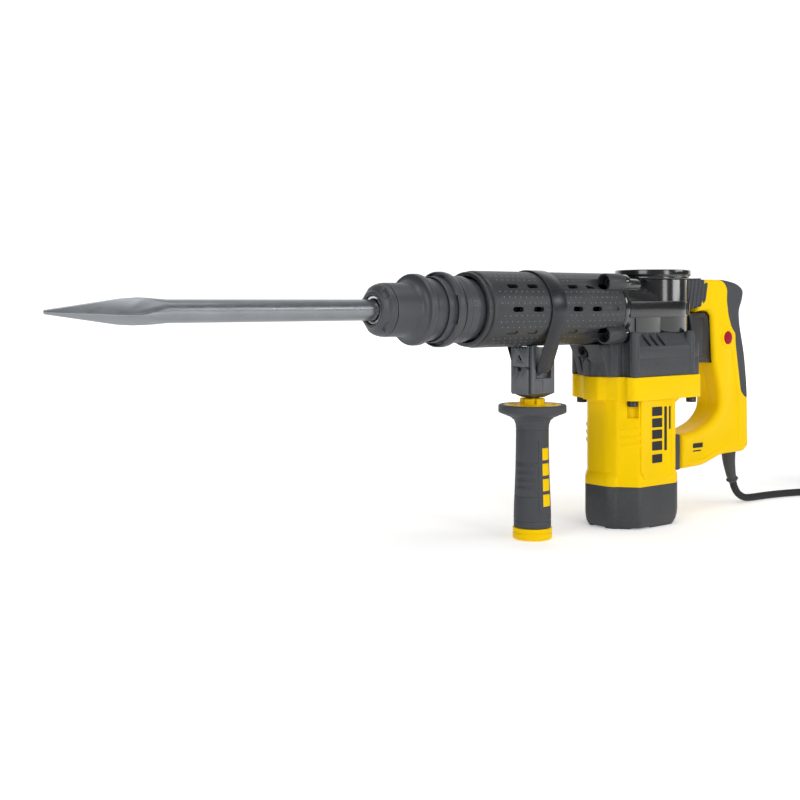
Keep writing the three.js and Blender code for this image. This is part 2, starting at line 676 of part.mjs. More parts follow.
function handleShells() {
  const rounding = { bevel: 5, bevelSegments: 2, steps: 2 };
  const solidHandle = prism("y", outline(HANDLE), -HANDLE_HALF, HANDLE_HALF, rounding);
  const tongue = join(
    rod("y", 8, -6.5, 6.5, { at: [PIVOT_X, 0, PIVOT_Z], sides: 16 }),
    box([PIVOT_X, 56], [-6.5, 6.5], [PIVOT_Z - 6, PIVOT_Z + 6]),
  );
  const pinHole = rod("y", 4.3, -20, 20, { at: [PIVOT_X, 0, PIVOT_Z], sides: 16 });
  const overmold = solidHandle.intersect(prism("y", outline(OVERMOLD), -30, 30));
  const room = [
    prism("y", outline(shifted(OVERMOLD, -GAP)), -30, 30),
    ...[[GAP, -0.5], [3.2, -0.6], [TRIGGER_TRAVEL + 0.6, -0.6], [TRIGGER_TRAVEL + 0.6, 0.5]].map((move) =>
      prism("y", outline(shifted(TRIGGER, ...move)), -TRIGGER_HALF - 0.5, TRIGGER_HALF + 0.5),
    ),
    box([104, 134.5], [-11.5, 11.5], [168, 206]),
    rod("x", 12, 70, 92, { at: [0, 0, 232], sides: 16 }),
    rod("y", 7.2, -25, 0, { at: BUTTON_AT, sides: 16 }),
  ];
  const button = rod("y", 10.6, -HANDLE_HALF - 1.2, -10, { at: BUTTON_AT, sides: 24 });
  const ring = cut(button, rod("y", 7.2, -25, 0, { at: BUTTON_AT, sides: 16 }), room[0]);
  const whole = cut(cut(join(solidHandle, tongue), pinHole), ...room);
  const half = (from, to) => box([0, 200], [from, to], [0, 300]);
  return {
    near: join(whole.intersect(half(-40, -GAP / 2)), ring),
    far: whole.intersect(half(GAP / 2, 40)),
    overmold: cut(overmold, prism("y", outline(TRIGGER), -5, 5)),
  };
}

const rearHandle = group(hammer);
const shells = handleShells();
add(rearHandle, "handle_shell_near", shells.near, "yellow");
add(rearHandle, "handle_shell_far", shells.far, "yellow");
add(rearHandle, "grip_overmold", shells.overmold, "rubber");
add(rearHandle, "switch_module", box([121, 132.6], [-8.8, 11], [169, 203]), "black");
add(group(rearHandle), "trigger", prism("y", outline(TRIGGER), -TRIGGER_HALF, TRIGGER_HALF, { bevel: 1.5 }),
  "black");
const button = turned("y", [
  [0, -19.4], [5.6, -19.4], [6.8, -18.2], [6.8, -13.2], [0, -13.2],
], { at: BUTTON_AT, sides: 16 });
add(group(rearHandle), "lock_button", button, "red");

const boot = cut(
  prism("x", outline([[-15, 217.5, 4], [15, 217.5, 4], [15, 247.5, 5], [-15, 247.5, 5]]), 61, 78.4),
  rod("x", 11.5, 60, 80, { at: [0, 0, 232], sides: 16 }),
);
add(housing, "bellows", boot, "rubber");
add(housing, "avc_spring", bar(helix(8, 62.4, 90.2, 4, [0, 0, 232]), 1.1, 28, 5), "steel");

const pad = cut(
  box([41.3, 51.2], [-17.5, 17.5], [49.5, 86.5]),
  box([36, 53], [-7.2, 7.2], [PIVOT_Z - 10.5, PIVOT_Z + 10.5]),
  rod("y", 4.3, -20, 20, { at: [PIVOT_X, 0, PIVOT_Z], sides: 16 }),
);
add(housing, "lower_joint_pad", pad, "rubber");
add(housing, "pivot_pin", rod("y", 4, -15, 15, { at: [PIVOT_X, 0, PIVOT_Z], sides: 16 }), "steel");

// Supply cord: it leaves the handle downwards, meets the floor and runs to a coil with its plug on top

function roundCoil(angle, radius, z) {
  const turn = THREE.MathUtils.degToRad(angle);
  return unit(COIL_X + radius * Math.cos(turn), COIL_Y + radius * Math.sin(turn), z);
}

const floorZ = CORD_R + GAP;
const LEAD = [
  unit(...LEAD_TOP).add(unit(0.4, 0, -1.1)), unit(164.5, 0, 18), unit(171, 0, 10.6), unit(181, -0.4, 5.6),
  unit(194, -1, floorZ), unit(215, -2.4, floorZ), unit(245, -7, floorZ), unit(275, -16.5, floorZ),
  unit(300, -29.8, floorZ), unit(332.9, -49.8, floorZ),
];

// The guard bends from straight down towards the cord's own direction.
const guardPath = new THREE.QuadraticBezierCurve3(
  unit(153.6, 0, 58.6), unit(156, 0, 40), unit(...LEAD_TOP).add(unit(0.1, 0, -0.4)),
);

function cordGuard() {
  const root = bar(guardPath, 6.4, 8, 12);
  const flare = turned("z", [[0, 47], [6.6, 47], [8, 59.2], [0, 59.2]], { at: [154, 0, 0], sides: 12 });
  return join(root, flare);
}

const cord = group(hammer);
add(rearHandle, "cord_guard", cordGuard(), "rubber");
add(cord, "cord_lead", bar(new THREE.CatmullRomCurve3(LEAD), CORD_R, 12), "rubber");
const ringProfile = [
  [COIL_R - COIL_HALF, COIL_Z], [COIL_R + COIL_HALF, COIL_Z], [COIL_R + COIL_HALF, COIL_TOP],
  [COIL_R - COIL_HALF, COIL_TOP],
];
add(cord, "cord_coil", turned("z", ringProfile, { at: [COIL_X, COIL_Y, 0], sides: 32 }), "rubber");

const PLUG_R = 13;
const PLUG_PIN_Y = 9.5;
const plugX = COIL_X - 16;
const plugY = COIL_Y - 38;
const plugZ = COIL_TOP + GAP + PLUG_R;
const pins = [-1, 1].map((side) =>
  rod("x", 2.4, plugX + 50, plugX + 77, { at: [0, plugY + side * PLUG_PIN_Y, plugZ], sides: 8 }),
);
const plugBody = turned("x", [
  [0, plugX], [5, plugX], [6.5, plugX + 20], [11, plugX + 26], [PLUG_R, plugX + 36], [PLUG_R, plugX + 58],
  [0, plugX + 58],
], { at: [0, plugY, plugZ], sides: 16 });
add(cord, "cord_plug", join(plugBody, ...pins), "black");

const overCoil = COIL_TOP + CORD_R + GAP;
const TAIL = [
  roundCoil(75, 52.8, overCoil), roundCoil(100, 52, overCoil), roundCoil(130, 51.2, overCoil + 0.1),
  roundCoil(165, 50.6, overCoil + 1.5), roundCoil(194, 50.5, overCoil + 4), unit(350.2, -50, 44.6),
  unit(360.4, -56, 46.2), unit(plugX - 1.4, plugY, plugZ),
];
add(cord, "cord_tail", bar(new THREE.CatmullRomCurve3(TAIL), CORD_R, 12), "rubber");

export default hammer;
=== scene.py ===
"""Looks of the electric demolition hammer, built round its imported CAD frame. Lengths are in millimetres
until a mesh is made."""

import json
import math

import bmesh
import bpy
from mathutils import Matrix, Vector


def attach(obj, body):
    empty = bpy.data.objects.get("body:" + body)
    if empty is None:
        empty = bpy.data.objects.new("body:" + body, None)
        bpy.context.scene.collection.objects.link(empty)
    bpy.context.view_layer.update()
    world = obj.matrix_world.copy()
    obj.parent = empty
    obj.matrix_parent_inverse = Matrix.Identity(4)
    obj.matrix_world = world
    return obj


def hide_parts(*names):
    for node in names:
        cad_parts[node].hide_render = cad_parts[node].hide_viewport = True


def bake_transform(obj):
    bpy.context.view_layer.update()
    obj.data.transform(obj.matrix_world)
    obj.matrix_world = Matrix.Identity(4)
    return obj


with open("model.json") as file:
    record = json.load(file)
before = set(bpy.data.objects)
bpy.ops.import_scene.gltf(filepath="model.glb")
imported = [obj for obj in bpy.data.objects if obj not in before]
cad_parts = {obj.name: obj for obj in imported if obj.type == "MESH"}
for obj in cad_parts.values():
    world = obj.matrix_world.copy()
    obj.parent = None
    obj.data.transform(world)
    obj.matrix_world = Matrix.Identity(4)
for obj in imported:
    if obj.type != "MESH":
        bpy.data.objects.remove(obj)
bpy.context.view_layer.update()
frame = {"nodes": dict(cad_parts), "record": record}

MM = 0.001
AXIS_Z = 218  # height of the impact axis
MOTOR_X = -12
CRANK_X = 25.3
GRIP_X = -149.5
SLOT_OF = {part["node"]: part["material_slot"] for part in frame["record"]["subparts"]}

# Shapes: a shape is (points, faces)


def rounded(corners, steps=5):
    """A closed outline through corners (u, v, radius), the ones with a radius rounded by a curve."""
    path = []
    for i, (u, v, *rest) in enumerate(corners):
        here = Vector((u, v))
        back = Vector(corners[i - 1][:2]) - here
        ahead = Vector(corners[(i + 1) % len(corners)][:2]) - here
        reach = min(rest[0] if rest else 0, 0.45 * back.length, 0.45 * ahead.length)
        if reach <= 0:
            path.append((u, v))
            continue
        start, end = here + back.normalized() * reach, here + ahead.normalized() * reach
        for k in range(steps + 1):
            t = k / steps
            path.append(tuple((1 - t) ** 2 * start + 2 * t * (1 - t) * here + t * t * end))
    return path


def mirrored(half, steps=5):
    """The same half outline on both sides of v = 0."""
    other = [(u, -v, *rest) for u, v, *rest in reversed(half) if v]
    return rounded([*half, *other], steps)


def inset(outline, by):
    """The outline moved inwards by the same distance all round."""
    n = len(outline)
    area = sum(outline[i - 1][0] * outline[i][1] - outline[i][0] * outline[i - 1][1] for i in range(n))
    turn = math.copysign(1, area)
    moved = []
    for i in range(n):
        a, b, c = (Vector(outline[j % n]) for j in (i - 1, i, i + 1))
        first, second = (b - a).normalized(), (c - b).normalized()
        normal = Vector((-first.y - second.y, first.x + second.x)) * turn
        if normal.length < 1e-6:
            moved.append(tuple(b))
            continue
        normal.normalize()
        lean = max(0.5, normal.dot(Vector((-first.y, first.x)) * turn))
        moved.append(tuple(b + normal * (by / lean)))
    return moved


PLACES = {
    "x": lambda u, v, w: (w, u, v),
    "y": lambda u, v, w: (u, w, v),
    "z": lambda u, v, w: (u, v, w),
}


def loft(axis, sections):
    """A closed shape through outlines of equal length at stations along an axis."""
    place = PLACES[axis]
    n = len(sections[0][0])
    points = [place(u, v, w) for outline, w in sections for u, v in outline]
    last = n * (len(sections) - 1)
    faces = [list(range(n))[::-1], list(range(last, last + n))]
    for row in range(0, last, n):
        for i in range(n):
            j = (i + 1) % n
            faces.append([row + i, row + j, row + n + j, row + n + i])
    return points, faces


def prism(axis, outline, low, high, soft=0, steps=3):
    """An outline extruded along an axis, with its end edges rounded by "soft"."""
    if not soft:
        return loft(axis, [(outline, low), (outline, high)])
    ends = []
    for k in range(steps + 1):
        angle = math.pi / 2 * k / steps
        ends.append((inset(outline, soft * (1 - math.sin(angle))), soft * (1 - math.cos(angle))))
    sections = [(o, low + w) for o, w in ends] + [(o, high - w) for o, w in reversed(ends)]
    return loft(axis, sections)


def box(x, y, z):
    return prism("z", [(x[0], y[0]), (x[1], y[0]), (x[1], y[1]), (x[0], y[1])], *z)


def turned(axis, profile, at=(0, 0, 0), sides=96, first=0, sweep=360):
    """A profile of (radius, station) turned about an axis through "at". It starts and ends on the axis, or
    is closed on itself. A sweep under 360 degrees makes a closed wedge of it."""
    whole = sweep >= 360
    rows = sides if whole else sides + 1
    points, ring = [], []
    for radius, station in profile:
        count = rows if radius > 1e-6 else 1
        ring.append((len(points), count))
        for i in range(count):
            angle = math.radians(first + sweep * i / sides)
            across = radius * math.cos(angle), radius * math.sin(angle)
            spot = PLACES[axis](across[0], across[1], station)
            points.append(tuple(a + b for a, b in zip(spot, at)))
    on_axis = profile[0][0] <= 1e-6 and profile[-1][0] <= 1e-6
    pairs = list(zip(ring, ring[1:])) + ([] if on_axis else [(ring[-1], ring[0])])
    faces = []
    for (a, na), (b, nb) in pairs:
        for i in range(sides):
            j = (i + 1) % rows
            face = [a + (i if na > 1 else 0), a + (j if na > 1 else 0), b + (j if nb > 1 else 0),
                    b + (i if nb > 1 else 0)]
            face = [v for k, v in enumerate(face) if v not in face[:k]]
            if len(face) > 2:
                faces.append(face)
    if not whole:
        faces.append([a for a, _ in ring])
        faces.append([a + (rows - 1 if n > 1 else 0) for a, n in reversed(ring)])
    return points, faces


def rod(axis, radius, low, high, at=(0, 0, 0), soft=0, sides=48):
    if soft:
        return turned(axis, [(0, low), (radius - soft, low), (radius - soft * 0.3, low + soft * 0.3),
                             (radius, low + soft), (radius, high - soft),
                             (radius - soft * 0.3, high - soft * 0.3),
                             (radius - soft, high), (0, high)], at, sides)
    return turned(axis, [(0, low), (radius, low), (radius, high), (0, high)], at, sides)


def ring(axis, inner, outer, low, high, at=(0, 0, 0), soft=0.4, sides=96):
    s = soft
    profile = [(inner, low), (outer - s, low), (outer - 0.3 * s, low + 0.3 * s), (outer, low + s),
               (outer, high - s), (outer - 0.3 * s, high - 0.3 * s), (outer - s, high), (inner, high)]
    return turned(axis, profile, at, sides)


def swept(path, radius, sides=16):
    """A tube along a path, round it at each point's own radius, with its end faces closed."""
    path = [Vector(p) for p in path]
    radii = radius if isinstance(radius, (list, tuple)) else [radius] * len(path)
    tangents = [(path[min(i + 1, len(path) - 1)] - path[max(i - 1,
        0)]).normalized() for i in range(len(path))]
    side = tangents[0].orthogonal().normalized()
    points = []
    for p, t, r in zip(path, tangents, radii):
        side = (side - t * side.dot(t)).normalized()
        up = t.cross(side)
        for k in range(sides):
            angle = 2 * math.pi * k / sides
            points.append(tuple(p + side * (r * math.cos(angle)) + up * (r * math.sin(angle))))
    faces = [list(range(sides))[::-1], list(range(len(points) - sides, len(points)))]
    for row in range(0, len(points) - sides, sides):
        for i in range(sides):
            j = (i + 1) % sides
            faces.append([row + i, row + j, row + sides + j, row + sides + i])
    return points, faces


def smooth_path(knots, steps=8):
    """Points along a Catmull-Rom curve through the knots."""
    knots = [Vector(k) for k in knots]
    full = [2 * knots[0] - knots[1], *knots, 2 * knots[-1] - knots[-2]]
    made = []
    for a, b, c, d in zip(full, full[1:], full[2:], full[3:]):
        for k in range(steps):
            t = k / steps
            made.append(0.5 * (2 * b + (c - a) * t + (2 * a - 5 * b + 4 * c - d) * t * t
                               + (3 * b - a - 3 * c + d) * t ** 3))
    return [tuple(p) for p in [*made, knots[-1]]]


def moved(shape, matrix):
    points, faces = shape
    return [tuple(matrix @ Vector(p)) for p in points], faces


def shifted(shape, x=0, y=0, z=0):
    return moved(shape, Matrix.Translation((x, y, z)))


def flipped(shape):
    """The shape on the other side of Y = 0."""
    points, faces = shape
    return [(x, -y, z) for x, y, z in points], [face[::-1] for face in faces]


def merged(*shapes):
    points, faces = [], []
    for more_points, more_faces in shapes:
        faces += [[i + len(points) for i in face] for face in more_faces]
        points += more_points
    return points, faces


def both(shape):
    return merged(shape, flipped(shape))


def about_barrel(shape, degrees):
    """The shape, drawn at Y < 0, turned up about the impact axis."""
    centre = Matrix.Translation((0, 0, AXIS_Z))
    return moved(shape, centre @ Matrix.Rotation(math.radians(-degrees), 4, "X") @ centre.inverted())


def capsule(length, width, steps=8):
    """An outline with round ends, lying along u."""
    r, half = width / 2, length / 2 - width / 2
    turn = [math.pi * (k / steps - 0.5) for k in range(steps + 1)]
    right = [(half + r * math.cos(a), r * math.sin(a)) for a in turn]
    return right + [(-u, -v) for u, v in right]


# Meshes


def mesh_of(name, shape):
    points, faces = shape
    mesh = bpy.data.meshes.new(name)
    mesh.from_pydata([Vector(p) * MM for p in points], [], faces)
    work = bmesh.new()
    work.from_mesh(mesh)
    bmesh.ops.remove_doubles(work, verts=work.verts, dist=1e-7)
    bmesh.ops.recalc_face_normals(work, faces=work.faces)
    work.to_mesh(mesh)
    work.free()
    return mesh


def object_of(name, shape):
    made = bpy.data.objects.new(name, mesh_of(name, shape))
    bpy.context.scene.collection.objects.link(made)
    return made


def evaluated(obj):
    bpy.context.view_layer.update()
    graph = bpy.context.evaluated_depsgraph_get()
    return bpy.data.meshes.new_from_object(obj.evaluated_get(graph), depsgraph=graph)


def combined(base, join=(), cut=(), solver="MANIFOLD"):
    """The base with shapes joined to it, and then others cut from it."""
    target = object_of("work", base)
    tools = []
    for operation, shapes in (("UNION", join), ("DIFFERENCE", cut)):
        for shape in shapes:
            tool = object_of("tool", shape)
            tools.append(tool)
            modifier = target.modifiers.new("combine", "BOOLEAN")
            modifier.operation, modifier.solver, modifier.object = operation, solver, tool
    mesh = evaluated(target)
    points = [tuple(v.co / MM) for v in mesh.vertices]
    faces = [list(p.vertices) for p in mesh.polygons]
    for spare in [target, *tools]:
        bpy.data.objects.remove(spare)
    if not faces:
        raise RuntimeError("a combined shape came out empty")
    return points, faces


def piece(name, shape, body, look, replaces=(), bevel=0.0, angle=35, steps=2, crease=32):
    """A finished piece: its edges sharper than "angle" bevelled, smooth shaded up to "crease" degrees."""
    made = object_of(name, shape)
    if bevel:
        modifier = made.modifiers.new("edges", "BEVEL")
        modifier.width, modifier.segments = bevel * MM, steps
        modifier.limit_method, modifier.angle_limit = "ANGLE", math.radians(angle)
        modifier.miter_outer = "MITER_ARC"
        rough = made.data
        made.data = evaluated(made)
        made.modifiers.clear()
        bpy.data.meshes.remove(rough)
    mesh = made.data
    mesh.polygons.foreach_set("use_smooth", [True] * len(mesh.polygons))
    mesh.set_sharp_from_angle(angle=math.radians(crease))
    mesh.materials.clear()
    mesh.materials.append(look)
    if body:
        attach(made, body)
    if replaces:
        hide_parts(*replaces)
    return made


# Camera

camera_data = bpy.data.cameras.new("camera")
camera_data.lens = 54.1
camera_data.shift_y = -0.125
camera_data.clip_end = 50
camera = bpy.data.objects.new("camera", camera_data)
camera.location = (-0.9575, -0.8199, 0.2265)
camera.rotation_euler = (math.radians(90), 0, math.radians(-38.3))
bpy.context.scene.collection.objects.link(camera)
bpy.context.scene.camera = camera

# Materials


class Look:
    """A node material built on the Principled shader, in object coordinates."""

    def __init__(self, name):
        self.material = bpy.data.materials.new(name)
        self.material.use_nodes = True
        self.tree = self.material.node_tree
        self.shader = self.tree.nodes["Principled BSDF"]
        self.place = self.node("TexCoord").outputs["Object"]

    def node(self, kind, settings=None, **inputs):
        made = self.tree.nodes.new("ShaderNode" + kind)
        for key, value in (settings or {}).items():
            setattr(made, key, value)
        for key, value in inputs.items():
            self.feed(made.inputs[key], value)
        return made

    def feed(self, socket, value):
        if isinstance(value, bpy.types.NodeSocket):
            self.tree.links.new(value, socket)
        else:
            socket.default_value = value

    def set(self, **inputs):
        for key, value in inputs.items():
            self.feed(self.shader.inputs[key.replace("_", " ")], value)

    def noise(self, scale, detail=3, stretch=(1, 1, 1)):
        place = self.place
        if stretch != (1, 1, 1):
            place = self.node("Mapping", Vector=place, Scale=stretch).outputs[0]
        return self.node("TexNoise", Vector=place, Scale=scale, Detail=detail).outputs["Fac"]

    def ramp(self, value, low, high, out_low=0.0, out_high=1.0):
        spread = {"Value": value, "From Min": low, "From Max": high, "To Min": out_low, "To Max": out_high}
        return self.node("MapRange", **spread).outputs[0]

    def mix(self, factor, first, second, blend="MIX"):
        made = self.node("Mix", {"data_type": "RGBA", "blend_type": blend})
        self.feed(made.inputs[0], factor)
        self.feed(made.inputs[6], first)
        self.feed(made.inputs[7], second)
        return made.outputs[2]

    def math(self, operation, a, b):
        made = self.node("Math", {"operation": operation})
        self.feed(made.inputs[0], a)
        self.feed(made.inputs[1], b)
        return made.outputs[0]

    def edges(self, width):
        """1 on edges and 0 away from them."""
        soft = self.node("Bevel", {"samples": 4}, Radius=width * MM).outputs[0]
        true = self.node("NewGeometry").outputs["True Normal"]
        same = self.node("VectorMath", {"operation": "DOT_PRODUCT"})
        self.feed(same.inputs[0], soft)
        self.feed(same.inputs[1], true)
        return self.ramp(same.outputs["Value"], 0.995, 0.82)

    def bump(self, height, distance, strength=1.0):
        made = self.node("Bump", Strength=strength, Distance=distance * MM, Height=height)
        self.feed(self.shader.inputs["Normal"], made.outputs[0])


def colour(red, green, blue):
    """An sRGB colour of 0 to 255 as a linear one."""
    def linear(c):
        c /= 255
        return c / 12.92 if c <= 0.04045 else ((c + 0.055) / 1.055) ** 2.4
    return linear(red), linear(green), linear(blue), 1.0


def plastic(name, base, rough, grain=900.0, depth=0.02, drift=0.08, edge=None, gloss=0.5, coat=0.0,
            edge_width=0.7):
    """Moulded plastic or rubber: a fine grain, slow colour drift and lighter edges, partly wear and partly a painted
    edge highlight.
    """
    look = Look(name)
    slow = look.ramp(look.noise(18, 4), 0.3, 0.7, 1 - drift, 1 + drift)
    tone = look.mix(1.0, base, look.node("CombineColor", Red=slow, Green=slow, Blue=slow).outputs[0],
        "MULTIPLY")
    # The edge colour lightens the edges: partly wear, partly a painted edge highlight.
    if edge:
        tone = look.mix(look.math("MULTIPLY", look.edges(edge_width), 0.55), tone, edge)
    fine = look.noise(grain, 2)
    look.set(Base_Color=tone, Roughness=look.ramp(fine, 0.2, 0.8, rough - 0.05, rough + 0.07),
             Specular_IOR_Level=gloss, Coat_Weight=coat, Coat_Roughness=0.12)
    look.bump(fine, depth, 0.6)
    return look.material


def speckled(name, base, light, rough, grain=1400.0, depth=0.03):
    """Dark glass-filled nylon: light specks in a dark ground and a sandy surface."""
    look = Look(name)
    specks = look.ramp(look.noise(grain, 2), 0.52, 0.74)
    slow = look.ramp(look.noise(22, 4), 0.3, 0.7)
    tone = look.mix(look.math("MULTIPLY", specks, 0.55), base, light)
    tone = look.mix(look.math("MULTIPLY", slow, 0.25), tone, light)
    # Lighter edges: partly wear, partly a painted edge highlight.
    tone = look.mix(look.math("MULTIPLY", look.edges(0.6), 0.35), tone, light)
    look.set(Base_Color=tone, Roughness=look.ramp(slow, 0, 1, rough - 0.05, rough + 0.05))
    look.bump(look.noise(grain, 3), depth, 0.7)
    return look.material


def metal(name, base, rough, stretch=(1, 1, 1), scale=300.0, depth=0.01, drift=0.12, dark=None,
    metallic=1.0):
    """Machined or forged metal: streaks along "stretch" and uneven tarnish."""
    look = Look(name)
    streak = look.noise(scale, 3, stretch)
    cloud = look.ramp(look.noise(45, 5), 0.35, 0.68)
    tone = look.mix(look.math("MULTIPLY", cloud, 0.6), base,
        dark or tuple(c * (1 - 3 * drift) for c in base[:3]) + (1,))
    level = look.ramp(streak, 0.25, 0.75, 1 - drift, 1 + drift)
    tone = look.mix(1.0, tone, look.node("CombineColor", Red=level, Green=level, Blue=level).outputs[0],
        "MULTIPLY")
    look.set(Base_Color=tone, Metallic=metallic, Roughness=look.ramp(streak, 0.2, 0.8, rough - 0.08,
        rough + 0.1))
    look.bump(streak, depth, 0.5)
    return look.material


# In plastic() the seventh value is the edge colour: partly wear, partly a painted edge highlight.
YELLOW = plastic("moulded_yellow", colour(240, 198, 0), 0.4, 700, 0.015, 0.03, colour(255, 220, 0), 0.07)
GREY = speckled("nylon_grey", colour(40, 42, 45), colour(82, 85, 90), 0.5)
SLEEVE = speckled("nylon_sleeve", colour(32, 34, 37), colour(72, 75, 79), 0.46, 1100, 0.04)
STUDS = plastic("nylon_studs", colour(104, 107, 112), 0.3, 1400, 0.01, 0.05, None, 0.6)
RUBBER = plastic("rubber_dark", colour(62, 64, 68), 0.6, 1200, 0.03, 0.08, colour(92, 95, 100), 0.35)
NOSE = plastic("rubber_nose", colour(58, 60, 64), 0.4, 1500, 0.02, 0.08, colour(92, 95, 100), 0.45)
GLOSS = plastic("gloss_black", colour(18, 19, 21), 0.2, 1800, 0.006, 0.1, colour(70, 73, 78), 0.4, 0.8, 0.5)
BLACK = plastic("moulded_black", colour(24, 25, 28), 0.36, 1200, 0.015, 0.08, colour(76, 79, 84), 0.45)
SHEATH = plastic("cord_sheath", colour(28, 29, 31), 0.55, 1400, 0.03, 0.1, None, 0.35)
CRIMSON = plastic("moulded_crimson", colour(158, 0, 44), 0.32, 900, 0.01, 0.05, colour(200, 20, 70), 0.12)
PRINT = plastic("printed_black", colour(28, 28, 30), 0.5, 1600, 0.004, 0.05, None, 0.3)
CLAMP = metal("blackened_steel", colour(100, 102, 106), 0.42, (1, 1, 1), 900, 0.04, 0.1, metallic=0.55)
STRAP = metal("strap_steel", colour(46, 48, 52), 0.3, (1, 1, 1), 500, 0.01, 0.08, metallic=0.5)
FORGED = metal("forged_steel", colour(140, 144, 148), 0.34, (0.25, 1, 1), 520, 0.02, 0.05)
GROUND = metal("ground_steel", colour(200, 202, 206), 0.24, (0.1, 1, 1), 900, 0.004, 0.06)
SCREWS = metal("black_zinc", colour(66, 68, 72), 0.32, (1, 1, 1), 900, 0.006, 0.1, metallic=0.8)
IRON = metal("laminated_iron", colour(92, 92, 96), 0.5, (1, 1, 14), 160, 0.03, 0.18, metallic=0.7)
COPPER = metal("enamelled_copper", colour(196, 112, 58), 0.32, (1, 1, 8), 300, 0.02, 0.12)
CARBON = plastic("carbon_block", colour(42, 42, 44), 0.6, 1400, 0.04, 0.15, None, 0.3)

LOOK_OF = {
    "yellow_plastic": YELLOW, "grey_plastic": GREY, "black_gloss": GLOSS, "black_plastic": BLACK,
    "soft_rubber": RUBBER, "cord_sheath": SHEATH, "clamp_steel": CLAMP, "forged_steel": FORGED,
    "machined_steel": GROUND, "screw_steel": SCREWS, "motor_iron": IRON, "copper_winding": COPPER,
    "carbon": CARBON, "red_button": CRIMSON,
}
for name, node in frame["nodes"].items():
    node.data.materials.clear()
    node.data.materials.append(LOOK_OF[SLOT_OF[name]])
    node.data.polygons.foreach_set("use_smooth", [True] * len(node.data.polygons))
    node.data.set_sharp_from_angle(angle=math.radians(32))

# Cord, its guard, tie and plug

CORD_R = 4
COIL = (388, -20)
COIL_TOP = 33.3
LAYER_UP = 8.1
GUARD_PATH = [(153.6, 0, 58.6), (156, 0, 40), (161.5, 0, 25)]
LEAD = [
    (161.5, 0, 25), (162.4, 0, 22.6), (164.6, 0, 17.9), (171, 0, 10.6), (181, -0.4, 5.5), (194, -1, 4.1),
    (215, -2.4, 4.1), (245, -7, 4.1), (275, -16.5, 4.1), (300, -29.8, 4.1), (332.9, -49.8, 4.6),
]
LEAVES_FLOOR = 238.8  # where the lead meets the coil, in degrees round it
CLIMB = 100  # degrees taken to climb to the next layer


def round_coil(angle, radius, z):
    turn = math.radians(angle)
    return COIL[0] + radius * math.cos(turn), COIL[1] + radius * math.sin(turn), z


def eased(t):
    return t * t * (3 - 2 * t)


def cord_path():
    """The lead, four layers of two turns, and the end that lies over them to the plug."""
    path = smooth_path(LEAD, 6)
    angle, radius, z = LEAVES_FLOOR, 54.0, 4.95
    for layer, sweep in enumerate((720, 720, 720, 601.2)):
        steps = int(sweep / 12)
        start, inward = radius, -1 if layer % 2 == 0 else 1
        for k in range(0 if layer == 0 else 1, steps + 1):
            turned_by = sweep * k / steps
            radius = start + inward * 8 * turned_by / 360
            path.append(round_coil(angle + turned_by, radius, z))
        angle += sweep
        if layer < 3:
            for k in range(1, 9):
                path.append(round_coil(angle + CLIMB * k / 8, radius, z + LAYER_UP * eased(k / 8)))
            angle, z = angle + CLIMB, z + LAYER_UP
    for k in range(1, 16):
        turned_by, share = 134 * k / 15, k / 15
        rise = (COIL_TOP + CORD_R - z) * eased(min(1, share * 1.5))
        lift = 5.2 * eased(max(0, (turned_by - 80) / 100))
        path.append(round_coil(angle + turned_by, radius + (50.5 - radius) * share, z + rise + lift))
    top = path[-1][2]
    for k in range(1, 9):
        turn = math.radians(194 + 76 * k / 8)
        height = top + (46.6 - top) * math.sin(math.pi / 2 * k / 8)
        path.append((372 + 34 * math.cos(turn), -24 + 34 * math.sin(turn), height))
    return path


route = cord_path()
cord = piece("supply_cord", swept(route, CORD_R, 12), None, SHEATH,
             ["cord_lead", "cord_coil", "cord_tail"], crease=50)


def plug_shape():
    x, y, z = 372, -58, COIL_TOP + 0.3 + 13
    profile = [(0, x), (4.9, x), (5.3, x + 0.8)]
    for k in range(4):
        low = x + 2.5 + k * 4.4
        profile += [(5.4, low), (4.6, low + 0.4), (4.6, low + 1.6), (5.6, low + 2)]
    profile += [(6.6, x + 20.5), (8.4, x + 23), (10.8, x + 26), (12.2, x + 31), (12.9, x + 37),
        (12.9, x + 56.4),
                (12.4, x + 57.5), (11.6, x + 58), (0, x + 58)]
    body = turned("x", profile, (0, y, z), 64)
    grips = [shifted(prism("x", capsule(9, 1.6, 4), x + 38 + 3.4 * k, x + 39.6 + 3.4 * k), 0, y,
        z + side * 12.6)
             for k in range(5) for side in (-1, 1)]
    return body, grips, [(y + side * 9.5, z) for side in (-1, 1)]


plug_body, plug_grips, pin_places = plug_shape()
plug = piece("plug_body", combined(plug_body, cut=plug_grips), "housing", BLACK, ["cord_plug"], bevel=0.25)
pins = piece("plug_pins", merged(*[rod("x", 2.4, 372 + 50, 372 + 77, (0, y, z), 1.2, 24) for y,
    z in pin_places]),
             "housing", GROUND)


def tie_shape():
    """A strap round the coil's section, its free end lying on top."""
    low, high, near, far = 0.1, COIL_TOP + 0.1, 33.3, 58.7
    outer = rounded([(near, low, 5), (far, low, 5), (far, high + 0.8, 5), (near, high + 0.8, 5)], 4)
    band = combined(prism("y", outer, -6, 6), cut=[prism("y", inset(outer, 0.8), -7, 7)])
    tail = prism("y", rounded([(near + 3, high + 0.7), (far - 5, high + 0.7), (far - 5, high + 1.5),
        (near + 3, high + 1.5)]), -5.5, 5.5)
    turn = Matrix.Translation((*COIL, 0)) @ Matrix.Rotation(math.radians(-28), 4, "Z")
    return moved(merged(band, tail), turn)


tie = piece("cord_tie", tie_shape(), "housing", RUBBER)
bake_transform(cord)

